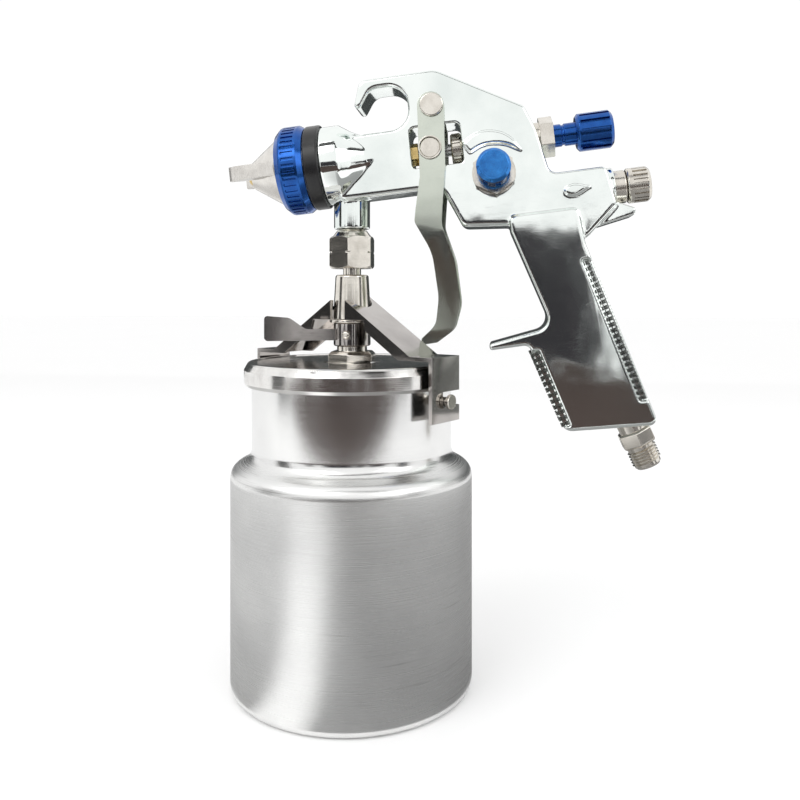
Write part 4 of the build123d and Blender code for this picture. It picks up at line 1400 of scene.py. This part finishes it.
@dataclass
class Inside:
    """Small pieces whose CAD shape stays, dressed in their own finishes."""

    frame: dict
    finishes: Finishes

    def build(self) -> None:
        """Gives each carried-over node its material."""
        finish = self.finishes
        worn = {
            "lid_gasket": finish.seal,
            "lid_locknut": finish.stem,
            "pickup_tube": finish.steel_tube,
            "pickup_strainer": finish.black,
            "nut_thrust_ring": finish.brass_stem,
            "air_baffle": finish.black,
            "fluid_packing": finish.ptfe,
            "valve_seat": finish.brass,
            "valve_spring": finish.steel,
            "needle_spring": finish.steel,
            "cap_clip": finish.steel,
            "valve_stem": finish.steel,
            "valve_seal": finish.seal,
            "fluid_needle": finish.steel,
            "needle_collar": finish.brass,
            "spring_seat": finish.brass,
            "fan_oring": finish.seal,
            "air_oring": finish.seal,
        }
        for node, material in worn.items():
            piece = self.frame["nodes"][node]
            piece.data.materials.clear()
            piece.data.materials.append(material)
            LOG.info("%s keeps its shape", node)


# ---------------------------------------------------------------- studio


@dataclass(frozen=True)
class Card:
    """A studio card that only mirrors see."""

    name: str
    centre: tuple[float, float, float]
    aim: tuple[float, float, float]
    size: tuple[float, float]
    shade: Colour


@dataclass
class Studio:
    """Pale floor, soft lights, dark and light cards, and the camera."""

    camera_at: tuple[float, float, float] = (0.0675, -0.3685, 0.176)
    camera_turn: float = 7.0
    lens: float = 36.5
    shift_y: float = -0.132
    cards: tuple[Card, ...] = (
        Card("card_floor", (0.15, -1, 0.004), (0.15, -1, 1), (2.4, 1.04), (0.05, 0.032, 0.027)),
        Card("card_room", (0.15, -1.6, 0.17), (0.15, 0, 0.17), (3, 0.34), (0.03, 0.028, 0.032)),
        Card("card_left", (-0.95, -0.35, 0.17), (0, 0, 0.17), (0.30, 0.7), (0.03, 0.03, 0.03)),
        Card("card_right", (1.05, -0.45, 0.17), (0, 0, 0.17), (0.26, 0.7), (0.03, 0.03, 0.03)),
        Card("card_top", (0.05, -0.55, 1.05), (0.05, 0, 0.2), (1.6, 0.20), (0.05, 0.05, 0.05)),
        Card("card_behind", (0.1, 1.3, 0.42), (0.1, 0, 0.42), (3.6, 0.84), (0.05, 0.055, 0.055)),
    )
    apron: tuple[float, float] = (0.0565, 0.47)
    apron_shades: tuple[float, float] = (0.55, 0.29)
    streak: tuple[float, float, float] = (-0.432, -0.902, 0.0)
    windows: tuple[tuple[float, float], ...] = ((-0.77, 0.36), (0.34, 0.07), (0.75, 0.12))
    window_high: float = 0.34
    lights: tuple = (
        ("key", (-0.5, -0.7, 1.0), 0.7, 3.5),
        ("fill", (0.9, -0.5, 0.7), 0.6, 1.6),
    )
    world: float = 1.03

    @staticmethod
    def _aimed(piece: Piece, place: Vector, aim: Vector) -> None:
        """Turns an object's -z towards a point."""
        piece.location = place
        piece.rotation_euler = (aim - place).to_track_quat("-Z", "Y").to_euler()

    @staticmethod
    def _plain(name: str, shade: Colour, rough: float) -> Look:
        """A quiet cloth with a breath of noise, for the stage."""
        bench = Bench(name)
        worn = tuple(0.985 * part for part in shade)
        colour = bench.mixed(bench.noise(3.0, 2.0), shade, worn)
        constants = {"Roughness": rough, "Specular IOR Level": 0.2}
        return bench.surface(constants, {"Base Color": colour})

    def _floor(self) -> None:
        """The pale floor."""
        bpy.ops.object.select_all(action="DESELECT")
        bpy.ops.mesh.primitive_plane_add(size=12)
        floor = bpy.context.object
        floor.name = "floor"
        floor.data.materials.append(self._plain("floor_paper", (0.97, 0.97, 0.97), 0.75))

    def _card(self, card: Card) -> None:
        """Hangs one card."""
        bpy.ops.object.select_all(action="DESELECT")
        bpy.ops.mesh.primitive_plane_add(size=1)
        piece = bpy.context.object
        piece.name = card.name
        piece.scale = (*card.size, 1)
        self._aimed(piece, Vector(card.centre), Vector(card.aim))
        piece.data.materials.append(self._plain(f"{card.name}_cloth", card.shade, 0.9))
        self._mirrored_only(piece)

    @staticmethod
    def _mirrored_only(piece: Piece) -> None:
        """Hides a stage piece from all but mirrors."""
        piece.visible_camera = False
        piece.visible_diffuse = False
        piece.visible_shadow = False

    def _apron(self) -> None:
        """Lays a grey ring of cloth round the cup, paler to the left and with a bright streak."""
        inner, outer = self.apron
        bpy.ops.object.select_all(action="DESELECT")
        bpy.ops.mesh.primitive_circle_add(vertices=96, radius=outer, fill_type="NOTHING")
        piece = bpy.context.object
        piece.name = "apron"
        bpy.ops.object.mode_set(mode="EDIT")
        bpy.ops.mesh.select_all(action="SELECT")
        bpy.ops.mesh.extrude_edges_move(TRANSFORM_OT_translate={"value": (0, 0, 0)})
        share = inner / outer
        bpy.ops.transform.resize(value=(share, share, 1), center_override=(0, 0, 0))
        bpy.ops.object.mode_set(mode="OBJECT")
        piece.location.z = 0.002
        bench = Bench("apron_cloth")
        across = bench.wire("ShaderNodeSeparateXYZ", {}, {0: bench.place}, "X")
        pale, deep = ((shade,) * 3 for shade in self.apron_shades)
        base = bench.mixed(across.step(-0.16, 0.05), pale, deep)
        way = bench.vector("NORMALIZE", {0: bench.stretched((1.0, 1.0, 0.0))})
        facing = bench.measure("DOT_PRODUCT", {0: way, 1: self.streak})
        colour = bench.mixed(facing.step(0.94, 0.99), base, (1.0, 1.0, 1.0))
        rest = {"Roughness": 0.9, "Specular IOR Level": 0.2}
        piece.data.materials.append(bench.surface(rest, {"Base Color": colour}))
        self._mirrored_only(piece)

    def _window(self, name: str, across: float, width: float) -> None:
        """Hangs a tall bright strip in front of the dark wall.

        Args:
            name: The strip's name.
            across: Its place along the wall.
            width: How wide it is.
        """
        centre, aim = (across, -1.55, 0.18), (across * 0.5, 0.0, 0.18)
        self._card(Card(name, centre, aim, (width, self.window_high), (1, 1, 1)))

    def _light(
        self, name: str, at: tuple[float, float, float], size: float, watts: float
    ) -> None:
        """Hangs one square soft light over the gun."""
        lamp = bpy.data.lights.new(name, "AREA")
        lamp.shape = "SQUARE"
        lamp.size = size
        lamp.energy = watts
        piece = bpy.data.objects.new(name, lamp)
        bpy.context.scene.collection.objects.link(piece)
        self._aimed(piece, Vector(at), Vector((0.05, 0, 0.15)))

    def build(self) -> None:
        """Sets the stage."""
        world = bpy.data.worlds.new("studio")
        bpy.context.scene.world = world
        world.use_nodes = True
        sky = world.node_tree.nodes["Background"].inputs
        sky["Color"].default_value = (1, 1, 1, 1)
        sky["Strength"].default_value = self.world
        bpy.context.scene.view_settings.view_transform = "Standard"
        self._floor()
        self._apron()
        for card in self.cards:
            self._card(card)
        for index, (across, width) in enumerate(self.windows):
            self._window(f"window_{index}", across, width)
        for light in self.lights:
            self._light(*light)
        lens = bpy.data.cameras.new("camera")
        lens.lens = self.lens
        lens.sensor_width = 36.0
        lens.shift_y = self.shift_y
        lens.clip_start = 0.01
        camera = bpy.data.objects.new("camera", lens)
        bpy.context.scene.collection.objects.link(camera)
        camera.location = self.camera_at
        camera.rotation_euler = (math.pi / 2, 0, math.radians(self.camera_turn))
        bpy.context.scene.camera = camera


def main() -> None:
    """Builds every sub-assembly in order."""
    logging.basicConfig(level=logging.INFO, format="%(message)s")
    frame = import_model()
    places = Places(frame)
    finishes = Finishes(places)
    kinds = (
        Cup,
        Lid,
        Clamp,
        GunBody,
        Trigger,
        AirCapEnd,
        FluidControl,
        FanControl,
        AirControl,
        Packing,
        AirInlet,
    )
    made = [kind(Workshop, finishes, places) for kind in kinds]
    for assembly in (Studio(), *made, Inside(frame, finishes)):
        assembly.build()
        LOG.info("%s built", type(assembly).__name__)


if __name__ == "__main__":
    main()
